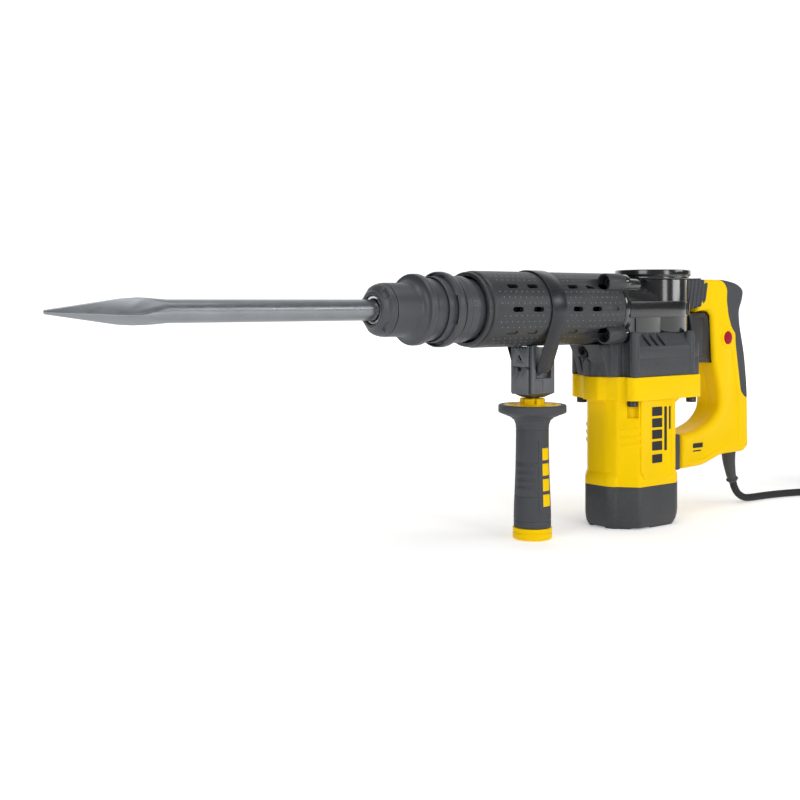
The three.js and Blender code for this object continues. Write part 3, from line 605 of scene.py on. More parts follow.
guard_line = smooth_path([GUARD_PATH[0], (154.4, 0, 49), (156.3, 0, 40), (158.8, 0, 31.5),
    (161.3, 0, 25.4)], 7)
guard_radii = []
for i in range(len(guard_line)):
    share = i / (len(guard_line) - 1)
    bulge = math.exp(-((share - 0.9) / 0.045) ** 2)
    guard_radii.append(7.7 - 2.7 * min(1, share / 0.8) + 1.9 * bulge)
guard_radii[0] = 8.0
piece("strain_relief", swept(guard_line, guard_radii, 32), "rear_handle", RUBBER, ["cord_guard"], bevel=0.3,
    angle=50)

# Floor, light


def floor_and_light():
    floor = object_of("floor", ([(-9000, -9000, 0), (9000, -9000, 0), (9000, 9000, 0), (-9000, 9000, 0)],
        [[0, 1, 2, 3]]))
    look = Look("floor_paint_and_glow")
    far = look.node("VectorMath", {"operation": "LENGTH"})
    look.feed(far.inputs[0], look.place)
    # Painted glow: the white floor also emits light, weakly (0.3) within 0.5 m of the origin and fully (1.0) from
    # 2.2 m out.
    glow = look.ramp(far.outputs["Value"], 0.5, 2.2, 0.3, 1.0)
    look.set(Base_Color=(0.9, 0.9, 0.9, 1), Roughness=0.8, Emission_Color=(1, 1, 1, 1),
        Emission_Strength=glow)
    floor.data.materials.append(look.material)
    world = bpy.data.worlds.new("studio")
    world.use_nodes = True
    tree = world.node_tree
    bpy.context.scene.world = world

    def toward(azimuth, elevation, low, high):
        """1 for directions near the given one and 0 away from it."""
        a, e = math.radians(azimuth), math.radians(elevation)
        near = tree.nodes.new("ShaderNodeVectorMath")
        near.operation = "DOT_PRODUCT"
        tree.links.new(tree.nodes["place"].outputs["Generated"], near.inputs[0])
        near.inputs[1].default_value = (math.cos(a) * math.cos(e), math.sin(a) * math.cos(e), math.sin(e))
        spread = tree.nodes.new("ShaderNodeMapRange")
        spread.interpolation_type = "SMOOTHSTEP"
        tree.links.new(near.outputs["Value"], spread.inputs["Value"])
        spread.inputs["From Min"].default_value, spread.inputs["From Max"].default_value = low, high
        return spread.outputs["Result"]

    tree.nodes.new("ShaderNodeTexCoord").name = "place"
    level = None
    for azimuth, elevation, low, high, shade in WORLD:
        spot = toward(azimuth, elevation, low, high)
        mix = tree.nodes.new("ShaderNodeMix")
        tree.links.new(spot, mix.inputs[0])
        if level is None:
            mix.inputs[2].default_value = AMBIENT
        else:
            tree.links.new(level, mix.inputs[2])
        mix.inputs[3].default_value = shade
        level = mix.outputs[0]
    tree.links.new(level, tree.nodes["Background"].inputs["Strength"])
    tree.nodes["Background"].inputs["Color"].default_value = (1, 1, 1, 1)
    bpy.context.scene.view_settings.view_transform = "Standard"
    target = Vector((-0.05, 0, 0.14))
    for name, place, size, power in LIGHTS:
        data = bpy.data.lights.new(name, "AREA")
        data.shape, data.size, data.size_y, data.energy = "RECTANGLE", *size, power
        light = bpy.data.objects.new(name, data)
        light.location = place
        light.rotation_mode = "QUATERNION"
        light.rotation_quaternion = (target - Vector(place)).to_track_quat("-Z", "Y")
        bpy.context.scene.collection.objects.link(light)


AMBIENT = 0.26
WORLD = [  # azimuth, elevation, where it starts and is full (cosines), strength there
    (0, 90, 0.3, 0.9, 0.5),
    (140, 5, 0.4, 0.9, 0.1),
    (-40, 0, 0.6, 0.95, 0.1),
    (51.7, 0, 0.45, 0.8, 1.15),
]
LIGHTS = [
    ("key", (-0.2, -1.75, 0.5), (0.42, 1.1), 8),
    ("top", (-0.25, -0.35, 2.0), (1.5, 1.1), 11.5),
    ("back", (1.16, -1.48, 0.85), (1.0, 0.35), 7),
    ("front", (-2.2, -0.4, 0.9), (1.0, 1.0), 13),
]
floor_and_light()

# Barrel: sleeve, neck and tool holder

SLEEVE_R = 35.25
LUGS = [(-27, 25.5), (27, 25.5), (27, -25.5), (-27, -25.5)]  # barrel screws, (y, z) from the impact axis


def on_axis(profile, axis="x", sides=96):
    return turned(axis, profile, (0, 0, AXIS_Z) if axis == "x" else (0, 0, 0), sides)


def sleeve_slot(station, degrees, length=13.5, width=4.6, top=-29, bottom=-40):
    return about_barrel(shifted(prism("y", capsule(length, width, 5), bottom, top), station, 0, AXIS_Z),
        degrees)


def sleeve_shape():
    profile = [
        (31, -56.3), (34.6, -56.3), (35.25, -57), (35.25, -226.5), (35, -228.2), (34.3, -229.2),
        (33.2, -229.6),
        (33.2, -230.6), (33.9, -231.2), (34.2, -232), (34.2, -233.6), (33.6, -234.8), (32.6, -235.3),
        (30.6, -235.3), (30.6, -231.7), (31, -231.7),
    ]
    lugs = [rod("x", 9, -79.5, -56.3, (0, y, AXIS_Z + z), 1, 40) for y, z in LUGS]
    inner = rod("x", 31, -100, -50, (0, 0, AXIS_Z))
    scoops, wells = [], []
    for y, z in LUGS:
        at = (0, y * 1.1, AXIS_Z + z * 1.1)
        scoops.append(turned("x", [(0, -110), (5, -110), (6.4, -102), (8, -94), (9.3, -87), (9.6, -79.6),
            (0, -79.6)], at, 48))
        wells.append(rod("x", 7.3, -82, -67, (0, y, AXIS_Z + z), 0, 40))
    through, blind = [], []
    for turn in (0, 180):
        through += [sleeve_slot(x, turn) for x in (-201.5, -175.6, -123.4, -97.2)]
        blind.append(sleeve_slot(-72.4, turn, 12, top=-34.2))
        for side in (1, -1):
            for x in (-202, -176.8, -123.8, -99):
                if side * (1 if turn == 0 else -1) > 0:
                    through.append(sleeve_slot(x, turn + side * 37))
                else:
                    blind.append(sleeve_slot(x - 0.6, turn + side * 36.5, top=-34.1))
    return combined(on_axis(profile), lugs, [*scoops, *wells, inner, *through, *blind])


def studs(angles, first, last, pitch=6.9, radius=0.75, high=0.42, shell=SLEEVE_R):
    """Rows of small raised dots round the barrel, each row half a pitch on from the last."""
    made = []
    for row, degrees in enumerate(angles):
        x = first + (pitch / 2 if row % 2 else 0)
        while x <= last:
            dot = turned("y", [(0, -shell - high), (radius * 0.6, -shell - high * 0.8),
                (radius, -shell + 0.15), (0, -shell + 0.15)],
                         (x, 0, AXIS_Z), 6)
            made.append(about_barrel(dot, degrees))
            x += pitch
    return merged(*made)


piece("sleeve", sleeve_shape(), "housing", SLEEVE, ["barrel_sleeve"], bevel=0.35, angle=40)
rows = [9.3, 18.3, 27.3, 49, 58, 67, 76]
rows = [side * a + base for base in (0, 180) for side in (1, -1) for a in rows]
piece("sleeve_studs", merged(studs(rows, -221, -163), studs(rows, -136, -112),
                             studs([a for a in rows if abs(math.sin(math.radians(a))) < 0.5], -106, -62)),
      "housing", STUDS, crease=60)

for i, (y, z) in enumerate(LUGS):
    hexagon = [(y + 2.7 * math.cos(math.pi / 3 * k),
        AXIS_Z + z + 2.7 * math.sin(math.pi / 3 * k)) for k in range(6)]
    head = combined(rod("x", 5.2, -72.6, -67, (0, y, AXIS_Z + z), 0.5, 32),
        cut=[prism("x", hexagon, -74, -69.6)])
    piece(f"barrel_bolt_{i + 1}", head, "housing", SCREWS, bevel=0.15, angle=50)


def neck_shape():
    body = on_axis([
        (22.6, -258), (29.2, -258), (30, -257.4), (30.2, -256.6), (30.2, -252.4), (29.7, -252),
        (29.7, -251.2),
        (30.2, -250.8), (30.2, -243.2), (29.6, -242.4), (28.2, -241.8), (28.2, -232.4), (22.6, -232.4),
    ])
    dots = []
    for row in range(3):
        for k in range(5):
            dot = turned("y", [(0, -30.5), (0.5, -30.4), (0.75, -29.9), (0, -29.9)],
                (-249.4 + 1.25 * k, 0, AXIS_Z), 6)
            for base in (0, 90, 180, 270):
                dots.append(about_barrel(dot, base + 6 + 5.5 * row))
    return merged(body, *dots)


piece("neck", neck_shape(), "housing", NOSE, ["neck_collar"])


def arc_profile(centre, radius, first, last, steps=8):
    """Points (radius, station) on an arc of a turned profile, angles from the radius axis in degrees."""
    made = []
    for k in range(steps + 1):
        a = math.radians(first + (last - first) * k / steps)
        made.append((centre[0] + radius * math.cos(a), centre[1] + radius * math.sin(a)))
    return made


def ring_shape():
    """The index ring: a dished rim with four curved pockets in its front."""
    body = on_axis([
        (28.5, -277.6), (29.2, -277.9), (30.2, -276.5), *arc_profile((30.6, -267.4), 3.2, 250, 330, 5),
        (33.8, -268.6), (33.9, -264.5), (33.5, -262.6), (32.6, -261.4), (31.2, -260.6), (30.6, -259.4),
        (29.8, -258.6), (22.6, -258.6), (22.6, -264), (28.5, -264),
    ], sides=128)
    pockets = [turned("x", [(29.6, -280), (32.6, -280), (32.6, -266), (29.6, -266)], (0, 0, AXIS_Z), 24,
        90 * k - 24, 48) for k in range(4)]
    return combined(body, cut=pockets)


piece("index_collar", ring_shape(), "index_ring", NOSE, ["index_ring"], bevel=0.3, angle=40)

flare = arc_profile((30.2, -305.6), 6.4, 176, 96, 8)
piece("lock_collar", on_axis([
    (19.4, -329.4), (22.5, -329.4), (23.1, -329.1), (23.4, -328.2), (23.6, -306), *flare[1:],
    (31.0, -298.9),
    (31.5, -298), (31.6, -296.8), (31.6, -293), (31.2, -291.7), (30.3, -290.9), (29, -290.5),
    (28.5, -289.8),
    (28.2, -288), (27.8, -276), (27.4, -275.3), (24.5, -275.3), (24.5, -296), (15.9, -296), (15.9, -303.2),
    (19.4, -310.8),
], sides=128), "locking_sleeve", NOSE, ["locking_sleeve"], crease=38)


def cap_shape():
    body = on_axis([
        (12.8, -341), (15, -341), (15.7, -340.7), (16.2, -339.9), (17.6, -338.9), (19.9, -337.9),
        (21.2, -336.4),
        (22.2, -334.6), (22.6, -333.4), (22.2, -332.9), (22.4, -332.3), (23, -331.6), (23.2, -330.6),
        (22.9, -329.8), (15.9, -329.8),
        (15.9, -334.6), (12.8, -334.6),
    ], sides=128)
    notches = [turned("x", [(18.6, -341), (24, -341), (24, -334.4), (18.6, -335.6)], (0, 0, AXIS_Z), 8,
        45 + 90 * k - 15, 30) for k in range(4)]
    return combined(body, cut=notches)


piece("nose_cap", cap_shape(), "tool_holder", NOSE, ["dust_cap"], bevel=0.25, angle=40)


def holder_shape():
    body = on_axis([
        (9.4, -338.3), (10.1, -339.5), (11.9, -339.5), (12.4, -339), (12.4, -334.2), (15.5, -334.2),
        (15.5, -262),
        (22, -262), (22, -236.4), (19.4, -236.4), (19.4, -205), (14.6, -205), (14.6, -225.5), (9.4, -227.5),
    ])
    return combined(body, cut=[box((-317.9, -303.1), (-20, 20), (AXIS_Z - 4, AXIS_Z + 4))])


piece("holder_tube", holder_shape(), "tool_holder", GROUND, ["tool_holder"], bevel=0.2, angle=50)


def chisel_shape():
    """A round shank drawn out to a square point, its four flats running out where they meet the round."""
    blank = on_axis([
        (0, -629.6), (1.3, -629.6), (1.9, -628.9), (12, -573.5), (9, -534.6), (9, -231), (7.6, -229.6),
        (0, -229.6),
    ], sides=96)

    def square(corner, x):
        turn = [math.radians(17.5 + 90 * k) for k in range(4)]
        soft = [(corner * math.cos(a), corner * math.sin(a) + AXIS_Z, 0.9) for a in turn]
        return rounded(soft, 3), x

    flats = loft("x", [square(1.5, -640), square(1.9, -629.6), square(10.4, -573.5), square(13.2, -534.6),
        square(13.4, -230)])
    shape = boolean_meet(blank, flats)
    grooves = []
    for side in (-1, 1):
        groove = shifted(prism("y", capsule(44.3, 8), 6.8, 12), -296.1, 0, AXIS_Z)
        grooves.append(groove if side > 0 else flipped(groove))
    return combined(shape, cut=grooves)


def boolean_meet(first, second):
    target, tool = object_of("work", first), object_of("tool", second)
    modifier = target.modifiers.new("meet", "BOOLEAN")
    modifier.operation, modifier.solver, modifier.object = "INTERSECT", "MANIFOLD", tool
    mesh = evaluated(target)
    shape = [tuple(v.co / MM) for v in mesh.vertices], [list(p.vertices) for p in mesh.polygons]
    bpy.data.objects.remove(target)
    bpy.data.objects.remove(tool)
    return shape


piece("point_chisel", chisel_shape(), "chisel", FORGED, ["chisel"], bevel=0.2, angle=24, crease=20)

# Crankcase and its cover


def circle(radius, centre=(0, 0), sides=64):
    return [(centre[0] + radius * math.cos(2 * math.pi * k / sides),
        centre[1] + radius * math.sin(2 * math.pi * k / sides))
            for k in range(sides)]


def crankcase_shape():
    centre, upright = (0, 0, AXIS_Z), (CRANK_X, 0, 0)
    column = rod("z", 35.2, 194, 247.6, upright, 0.4, 96)
    lip = turned("x", [(0, -56), (34.8, -56), (35.2, -55.6), (35.2, -50.4), (34.4, -49), (0, -49)], centre,
        96)
    neck = loft("x", [(circle(r, (0, z)), x) for x, r, z in (
        (-49.6, 33.6, 218), (-44, 33, 218.4), (-36, 30.6, 220.2), (-28, 27.6, 222.8), (-22, 26.5, 223.7),
        (CRANK_X, 26.4, 223.75))])
    under = rod("x", 33.5, -49.3, -4.9, centre, 0, 96)
    sill = combined(prism("z", [(-49.3, -33), (-2.4, -33), (-2.4, 33), (-49.3, 33)], 194, 210),
                    cut=[box((-60, -39), (-60, -31.6), (180, 215)),
                    box((-60, -39), (31.6, 60), (180, 215))])
    round_end = [(CRANK_X + 35.7 * math.cos(math.radians(a)),
        35.7 * math.sin(math.radians(a))) for a in range(-90, 91, 6)]
    band = prism("z", [(-49.3, -35.1), *round_end, (-49.3, 35.1)], 209.3, 225.5, 0.7, 3)
    lugs = [turned("z", [(30, 210.6), (37.2, 211), (37.8, 211.8), (37.8, 222.8), (37.2, 223.7),
        (30, 224.2)], upright, 8, a, 40)
            for a in (-62, 22)]
    ears = [rod("x", 8, -56, -49, (0, y, AXIS_Z + z), 0.5, 40) for y, z in LUGS]
    bosses = [turned("x", [(0, -52), (6.4, -52), (6.4, -47.6), (6, -47), (6, -31.5), (5.4, -29.2),
        (3.8, -27.8), (0, -27.5)],
                     (0, y * 0.93, AXIS_Z + z * 0.93), 40) for y, z in LUGS[:2]]
    pads = [rod("x", 3.4, -40, -22, (0, side * 17.6, AXIS_Z + 24.4), 0.8, 24) for side in (-1, 1)]
    return combined(column, [lip, neck, under, sill, band, *lugs, *ears, *bosses, *pads], [
        rod("x", 25.8, -60, -13.7, centre, 0, 72),
        rod("x", 22, -15, CRANK_X, centre, 0, 72),
        rod("z", 31.5, 197.5, 260, upright, 0, 96),
        rod("z", 12, 190, 198, upright, 0, 48),
        box((-14.4, 80), (-50, 50), (247.6, 270)),
        box((-4.9, 80), (-50, 50), (170, 194)),
    ])


piece("crankcase_body", crankcase_shape(), "housing", GLOSS, ["crankcase"], bevel=0.45, angle=38)


def cover_shape():
    body = turned("z", [
        (0, 247.9), (36.9, 247.9), (37.5, 248.4), (37.5, 250), (37.2, 250.5), (37.6, 251.2), (38.6, 251.8),
        (39, 252.4),
        (39, 255.9), (38.7, 256.9), (37.8, 257.5), (33.4, 257.5), (32.9, 257.2), (32.6, 256.6),
        (12.4, 256.6), (12, 257),
        (11.4, 257.2), (0, 257.2),
    ], (CRANK_X, 0, 0), 128)
    wells = [rod("z", 3.6, 254.6, 260, (CRANK_X + 26 * math.cos(a), 26 * math.sin(a), 0), 0, 24)
             for a in (math.radians(45 + 90 * k) for k in range(4))]
    return combined(body, cut=wells)


def socket_head(x, y, top, radius=3.1, deep=1.6, thick=2.6):
    """A socket-head screw seen from above, its head "thick" deep."""
    return combined(rod("z", radius, top - thick, top, (x, y, 0), 0.35, 32),
                    cut=[prism("z", [(x + radius * 0.55 * math.cos(math.pi / 3 * k),
                    y + radius * 0.55 * math.sin(math.pi / 3 * k))
                                     for k in range(6)], top - deep, top + 1)])


piece("crank_cover", cover_shape(), "housing", GLOSS, ["crankcase_cover"], bevel=0.15, angle=50)
for k in range(4):
    turn = math.radians(45 + 90 * k)
    piece(f"cover_screw_{k + 1}", socket_head(CRANK_X + 26 * math.cos(turn), 26 * math.sin(turn), 256.9),
        "housing", SCREWS)

# Gear housing

FLANGE = [
    (-71, 0), (-69.5, 10, 2), (-62, 15, 1.5), (-57, 25, 1.5), (-55, 35, 4), (-51, 43, 4), (51, 43, 5),
    (56, 30, 6),
    (61, 16, 8), (62, 0),
]


def scaled(outline, by_u, by_v, about=0.0):
    return [(about + (u - about) * by_u, v * by_v) for u, v in outline]


def gear_housing_shape():
    low, top = 150.8, 193.7
    plan = scaled(mirrored(FLANGE, 4), 0.985, 0.97)
    body = prism("z", plan, low, top, 0.5, 2)
    shoulder = [(33, top + 1), (70, top + 1), (70, 180), (42, 180)]
    shoulders = [prism("x", [(side * y, z) for y, z in shoulder], -95, 95) for side in (-1, 1)]
    rear = prism("y", [(38, top + 0.1), (60, 183.4), (75, 176), (75, 200), (38, 200)], -70, 70)
    hollows = []
    for side in (-1, 1):
        corner = rounded([(-80, side * 25.8), (-50.6, side * 25.8, 1.5), (-49.6, side * 33.5, 4),
            (-52.2, side * 37, 1), (-80, side * 37)], 4)
        hollows.append(prism("z", corner, 140, 210))
    vents = []
    for side in (-1, 1):
        for x in (-35.2, -24.2, -13.2):
            slot = prism("y", rounded([(x - 2.3, 197), (x + 2.3, 197), (x + 10.6, 180.6, 2.2),
                (x + 5.6, 180.6, 2.2)], 4), 33.4, 60)
            vents.append(slot if side > 0 else flipped(slot))
    ring_cut = combined(prism("z", inset(plan, -4), 168.1, 168.9),
        cut=[prism("z", inset(plan, 0.5), 160, 180)])
    posts = [turned("z", [(0, low), (5, low), (5, 192.4), (4.6, 194), (3.4, 195.1), (0, 195.5)],
        (x, side * 38.5, 0), 40)
             for x in (37, -47.5) for side in (-1, 1)]
    webs = [box((-47.5, -40), (side * 40.4 - 1.3, side * 40.4 + 1.3), (low, 179)) for side in (-1, 1)]
    bracket = prism("y", rounded([(-79, 183, 1), (-50, 183), (-50, low), (-66, low), (-70, 166, 6)], 4),
        -20, 20, 1.2, 3)
    wings = [prism("z", rounded([(-66, side * 15), (-57.2, side * 25, 1), (-50, side * 25),
        (-50, side * 15)]), low, 183) for side in (-1, 1)]
    well = moved(rod("x", 6.2, -12, 4, (0, 0, 0), 0, 40),
        Matrix.Translation((-73.4, 4.6, 174.4)) @ Matrix.Rotation(math.radians(18), 4, "Y"))
    slots = [prism("y", [(-90, low - 1), (-66.6, low - 1), (-67.4, 168.6), (-70, 170.4), (-90, 170.4)],
        10.4, 13.6),
             combined(prism("x", rounded([(-1.5, low - 1), (9.4, low - 1), (9.4, 168.6, 4.5),
             (-1.5, 168.6, 4.5)]), -90, -69.4),
                      cut=[prism("x", rounded([(0.3, low - 2), (7.6, low - 2), (7.6, 166.6, 3.5),
                      (0.3, 166.6, 3.5)]), -95, -60)])]
    lugs = [rod("x", r, x0, x1, (0, side * 27, AXIS_Z - 25.5), 0, 40) for side in (-1, 1) for r, x0,
        x1 in ((9.8, -100, -55), (8.6, -56, -48.4))]
    shaped = combined(body, cut=[*shoulders, rear, *hollows, *vents, ring_cut])
    return combined(shaped, [*posts, *webs, bracket, *wings], [
        well, *slots, *lugs,
        rod("x", 36.05, -100, -55, (0, 0, AXIS_Z), 0, 96),
        rod("x", 35.7, -56, -48.6, (0, 0, AXIS_Z), 0, 96),
        rod("x", 34, -49, -4.7, (0, 0, AXIS_Z), 0, 96),
        rod("z", 33.5, 140, 180, (CRANK_X, 0, 0), 0, 72),
        rod("z", 11, 140, 180.2, (MOTOR_X, 0, 0), 0, 48),
        rod("z", 17.3, 179, 200, (CRANK_X, 0, 0), 0, 64),
        *[rod("z", 2.8, 140, 172, (x, y, 0), 0, 24) for x in (-45, 45) for y in (-34, 34)],
    ])


piece("gear_case", gear_housing_shape(), "housing", GREY, ["gear_housing"], bevel=0.4, angle=38)
tilt = Matrix.Translation((-73.4, 4.6, 174.4)) @ Matrix.Rotation(math.radians(18 - 90), 4, "Y")
piece("bracket_screw", moved(socket_head(0, 0, 1.6, 4.4, 2.4, 4.4), tilt), "housing", SCREWS,
    bevel=0.2, angle=50)

# Motor housing and end cap

COLUMN_REAR = [(13, 38, 3), (28, 27, 4), (34, 13, 4), (34, 0)]
CAP_REAR = [(14, 40, 4), (31, 28, 4), (37.5, 14, 4), (37.5, 0)]


def sided(near, far, steps=5):
    """An outline from a near half and a far half, both drawn at v > 0."""
    return rounded([*far, *[(u, -v, *rest) for u, v, *rest in reversed(near) if v]], steps)


def column_plan(inner=False):
    if inner:
        rear = [(11, 34.5, 3), (24.5, 25, 4), (30.5, 11, 4), (30.5, 0)]
        return sided([(-55, 0), (-54.5, 10, 3), (-50, 19, 2), (-36, 34, 2), *rear],
            [(-55, 0), (-54.5, 10, 3), (-31, 33.5, 3), *rear])
    near = [(-59, 0), (-58.7, 9, 2), (-56.2, 21.5, 1), (-55, 23.4, 1), (-53, 25, 1), (-40, 38, 2),
        *COLUMN_REAR]
    return sided(near, [(-59, 0), (-58.5, 13, 3), (-34, 37, 3), *COLUMN_REAR])


def cap_plan():
    near = [(-62, 0), (-61.5, 14, 3), (-58.6, 21, 0.8), (-57, 22.6, 0.6), (-55.4, 22.8, 0.6),
        (-53.2, 25.4, 1.2), (-41, 40, 3), *CAP_REAR]
    return sided(near, [(-62, 0), (-61.5, 14, 3), (-35, 38, 3), *CAP_REAR])


def label_outline(front, by=0.0):
    corners = [(front, 56), (front + 12.5, 45), (8, 45), (13, 50), (13, 134), (8, 139.5),
        (front + 14, 139.5), (front, 128)]
    return rounded([(u, v, 1.5) for u, v in inset(corners, by)], 3)


def motor_shape():
    flange = prism("z", mirrored(FLANGE, 4), 127.5, 150.5, 0.6, 2)
    column = prism("z", column_plan(), 42.3, 150)
    cap = cap_plan()
    skirt = loft("z", [(cap, 42.3), (cap, 48.6), (scaled(cap, 0.99, 0.985, MOTOR_X), 50.4),
        (scaled(cap, 0.945, 0.93, MOTOR_X), 55)])
    plates = [prism("y", label_outline(-39), -40, -37, 0.6, 2),
        prism("y", label_outline(-30), 37, 40, 0.6, 2)]
    seat = box((32, 41), (-16, 16), (50, 86))
    gussets = [prism("y", [(18, 129), (42, 129), (24, 118.4), (18, 118.4)], -27, 27),
               prism("y", [(-50, 129), (-64, 129), (-57.5, 123.5), (-50, 119)], -11, 11)]
    ribs = []
    for low in (97.1, 89.2, 81.4):
        for side in (-1, 1):
            rib = prism("z", [(-54.3 + 1.2, side * 25.3), (-40.6, side * 38.6), (-36, side * 38.9),
                (-36, side * 30), (-50, side * 20)]
                        if side < 0 else [(-56.4, 15.4), (-34.6, 38), (-33, 38), (-33, 30), (-50, 15.4)],
                        low, low + 3.4, 0.6, 2)
            ribs.append(rib)
    inside = [prism("z", column_plan(True), 0, 142), rod("z", 11.3, 140, 160, (MOTOR_X, 0, 0), 0, 48),
              rod("z", 9.3, 146, 160, (CRANK_X, 0, 0), 0, 48), box((35, 42), (-7.2, 7.2), (57.5, 78.5))]
    holes = [turned("z", [(0, 110), (5.7, 110), (5.7, 127.4), (2.8, 127.4), (2.8, 160), (0, 160)],
        (x, y, 0), 40)
             for x in (-45, 45) for y in (-34, 34)]
    scallops = [rod("z", 7.6, 110, 160, (-61.2, side * 31.4, 0), 0, 48) for side in (-1, 1)]
    panels = [prism("y", label_outline(-39, 5.6), -41, -39.4),
        prism("y", label_outline(-30, 5.6), 39.4, 41)]
    return combined(flange, [column, skirt, *plates, seat, *gussets, *ribs],
        [*inside, *scallops, *holes, *panels])


piece("motor_shell", motor_shape(), "housing", YELLOW, ["motor_housing"], bevel=0.5, angle=30)


def end_cap_shape():
    plan = cap_plan()
    shrink = lambda by: scaled(plan, 1 - by / 50, 1 - by / 40, MOTOR_X)
    base = loft("z", [(shrink(4.6), 0), (shrink(4.2), 0.2), (shrink(1.4), 5), (shrink(0.5), 9), (plan, 14),
        (plan, 42)])
    hollow = prism("z", scaled(plan, 0.91, 0.91, MOTOR_X), 5.4, 43)
    seat = turned("z", [(11.3, 3), (14, 3), (14, 17), (11.3, 17)], (MOTOR_X, 0, 0), 48)
    posts = [box((MOTOR_X - 8, MOTOR_X + 8), sorted((side * 18, side * 37)), (3, 42)) for side in (-1, 1)]
    slots = [box((MOTOR_X - 4.3, MOTOR_X + 4.3), sorted((side * 17, side * 33)),
        (29.7, 36.3)) for side in (-1, 1)]
    relief = [prism("z", capsule(26, 3.4), -1, 1.2), prism("z", capsule(26, 3.4), -1, 1.2)]
    grooves = [shifted(relief[0], MOTOR_X, -12), shifted(relief[1], MOTOR_X, 12)]
    feet = [box((-44, -20), (-45, -28), (-1, 1.3)), box((-44, -20), (28, 45), (-1, 1.3)),
        box((-70, -46), (-9, 9), (-1, 1.3))]
    vents = [prism("x", rounded([(y - 1.6, 12), (y + 1.6, 12), (y + 1.6, 32, 1.5), (y - 1.6, 32, 1.5)]), 30,
        45) for y in (-9, -3, 3, 9)]
    slits = [turned("z", [(18 + 4.6 * k, -1), (20.2 + 4.6 * k, -1), (20.2 + 4.6 * k, 8), (18 + 4.6 * k, 8)],
        (MOTOR_X, 0, 0), 10, a, 50)
             for k in (0, 1) for a in (65, 245)]
    return combined(base, cut=[hollow]), [seat, *posts], [*slots, *grooves, *feet, *vents, *slits]


shell, added, removed = end_cap_shape()
piece("end_cap", combined(shell, added, removed), "housing", GREY, ["motor_end_cap"], bevel=0.4, angle=38)

for i, (x, y) in enumerate([(-45, -34), (45, -34), (45, 34), (-45, 34)]):
    head = combined(turned("z", [
        (0, 121.6), (4.6, 121.6), (5.2, 122.2), (5.2, 127.1), (2.5, 127.1), (2.5, 169), (1.9, 170),
        (0, 170)], (x, y, 0), 40),
        cut=[prism("z", [(x + 2.6 * math.cos(math.pi / 3 * k),
        y + 2.6 * math.sin(math.pi / 3 * k)) for k in range(6)], 120, 124.6)])
    piece(f"case_screw_{i + 1}", head, "housing", SCREWS, [f"housing_screw_{i + 1}"], bevel=0.2, angle=50)

# Side handle

BLOCK_X = GRIP_X + 0.5


def strap_shape():
    """One band over the barrel; its ends leave it and run straight down into the block."""
    middle, leave = 36.2, math.radians(20)
    right = [(-14.3, 157.5)]
    steps = 48
    for k in range(steps + 1):
        a = math.pi + leave - (math.pi + 2 * leave) * k / steps
        right.append((middle * math.cos(a), AXIS_Z + middle * math.sin(a)))
    line = [*right, (14.3, 157.5)]
    sides = ([], [])
    for i, p in enumerate(line):
        back, ahead = Vector(line[max(i - 1, 0)]), Vector(line[min(i + 1, len(line) - 1)])
        along = (ahead - back).normalized()
        for side, by in zip(sides, (0.62, -0.62)):
            side.append((p[0] - along.y * by, p[1] + along.x * by))
    strap = prism("x", [*sides[0], *reversed(sides[1])], GRIP_X - 9.5, GRIP_X + 9.5)
    end = rounded([(GRIP_X - 9.5, 157, 7), (GRIP_X + 9.5, 157, 12), (GRIP_X + 9.5, 230),
        (GRIP_X - 9.5, 230)], 8)
    waste = combined(box((-170, -130), (-40, 40), (150, 175)), cut=[prism("y", end, -50, 50)])
    return combined(strap, cut=[waste])


piece("strap", strap_shape(), "side_clamp", STRAP, ["clamp_band"], bevel=0.3, angle=50)


def block_shape():
    wide = rounded([(BLOCK_X - 15, -15, 1.6), (BLOCK_X + 15, -15, 1.6), (BLOCK_X + 15, 15, 1.6),
        (BLOCK_X - 15, 15, 1.6)], 3)
    foot = rounded([(BLOCK_X - 8, -8, 1.6), (BLOCK_X + 8, -8, 1.6), (BLOCK_X + 8, 8, 1.6),
        (BLOCK_X - 8, 8, 1.6)], 3)
    body = loft("z", [(foot, 134.2), (wide, 138.4), (wide, 184)])
    collar = rod("z", 6.6, 133.5, 136, (GRIP_X, 0, 0), 0.3, 32)
    windows = [box((BLOCK_X - 10.8, BLOCK_X + 9.8), sorted((side * 9.4, side * 20)),
        (152.6, 190)) for side in (-1, 1)]
    ledge = [prism("y", rounded([(BLOCK_X - 10.8, 140, 1), (BLOCK_X - 1, 140, 1), (BLOCK_X - 1, 151.2, 1),
        (BLOCK_X - 10.8, 151.2, 1)]),
                   *sorted((side * 14.3, side * 20))) for side in (-1, 1)]
    front = box((-170, BLOCK_X - 13.8), (-11.2, 11.2), (137, 190))
    return combined(body, [collar], [
        rod("x", 37.2, -200, -100, (0, 0, AXIS_Z), 0, 72), rod("z", 5.4, 130, 172, (GRIP_X, 0, 0), 0, 40),
        *windows, *ledge, front])


piece("block", block_shape(), "side_clamp", CLAMP, ["clamp_block"], bevel=0.5, angle=40)


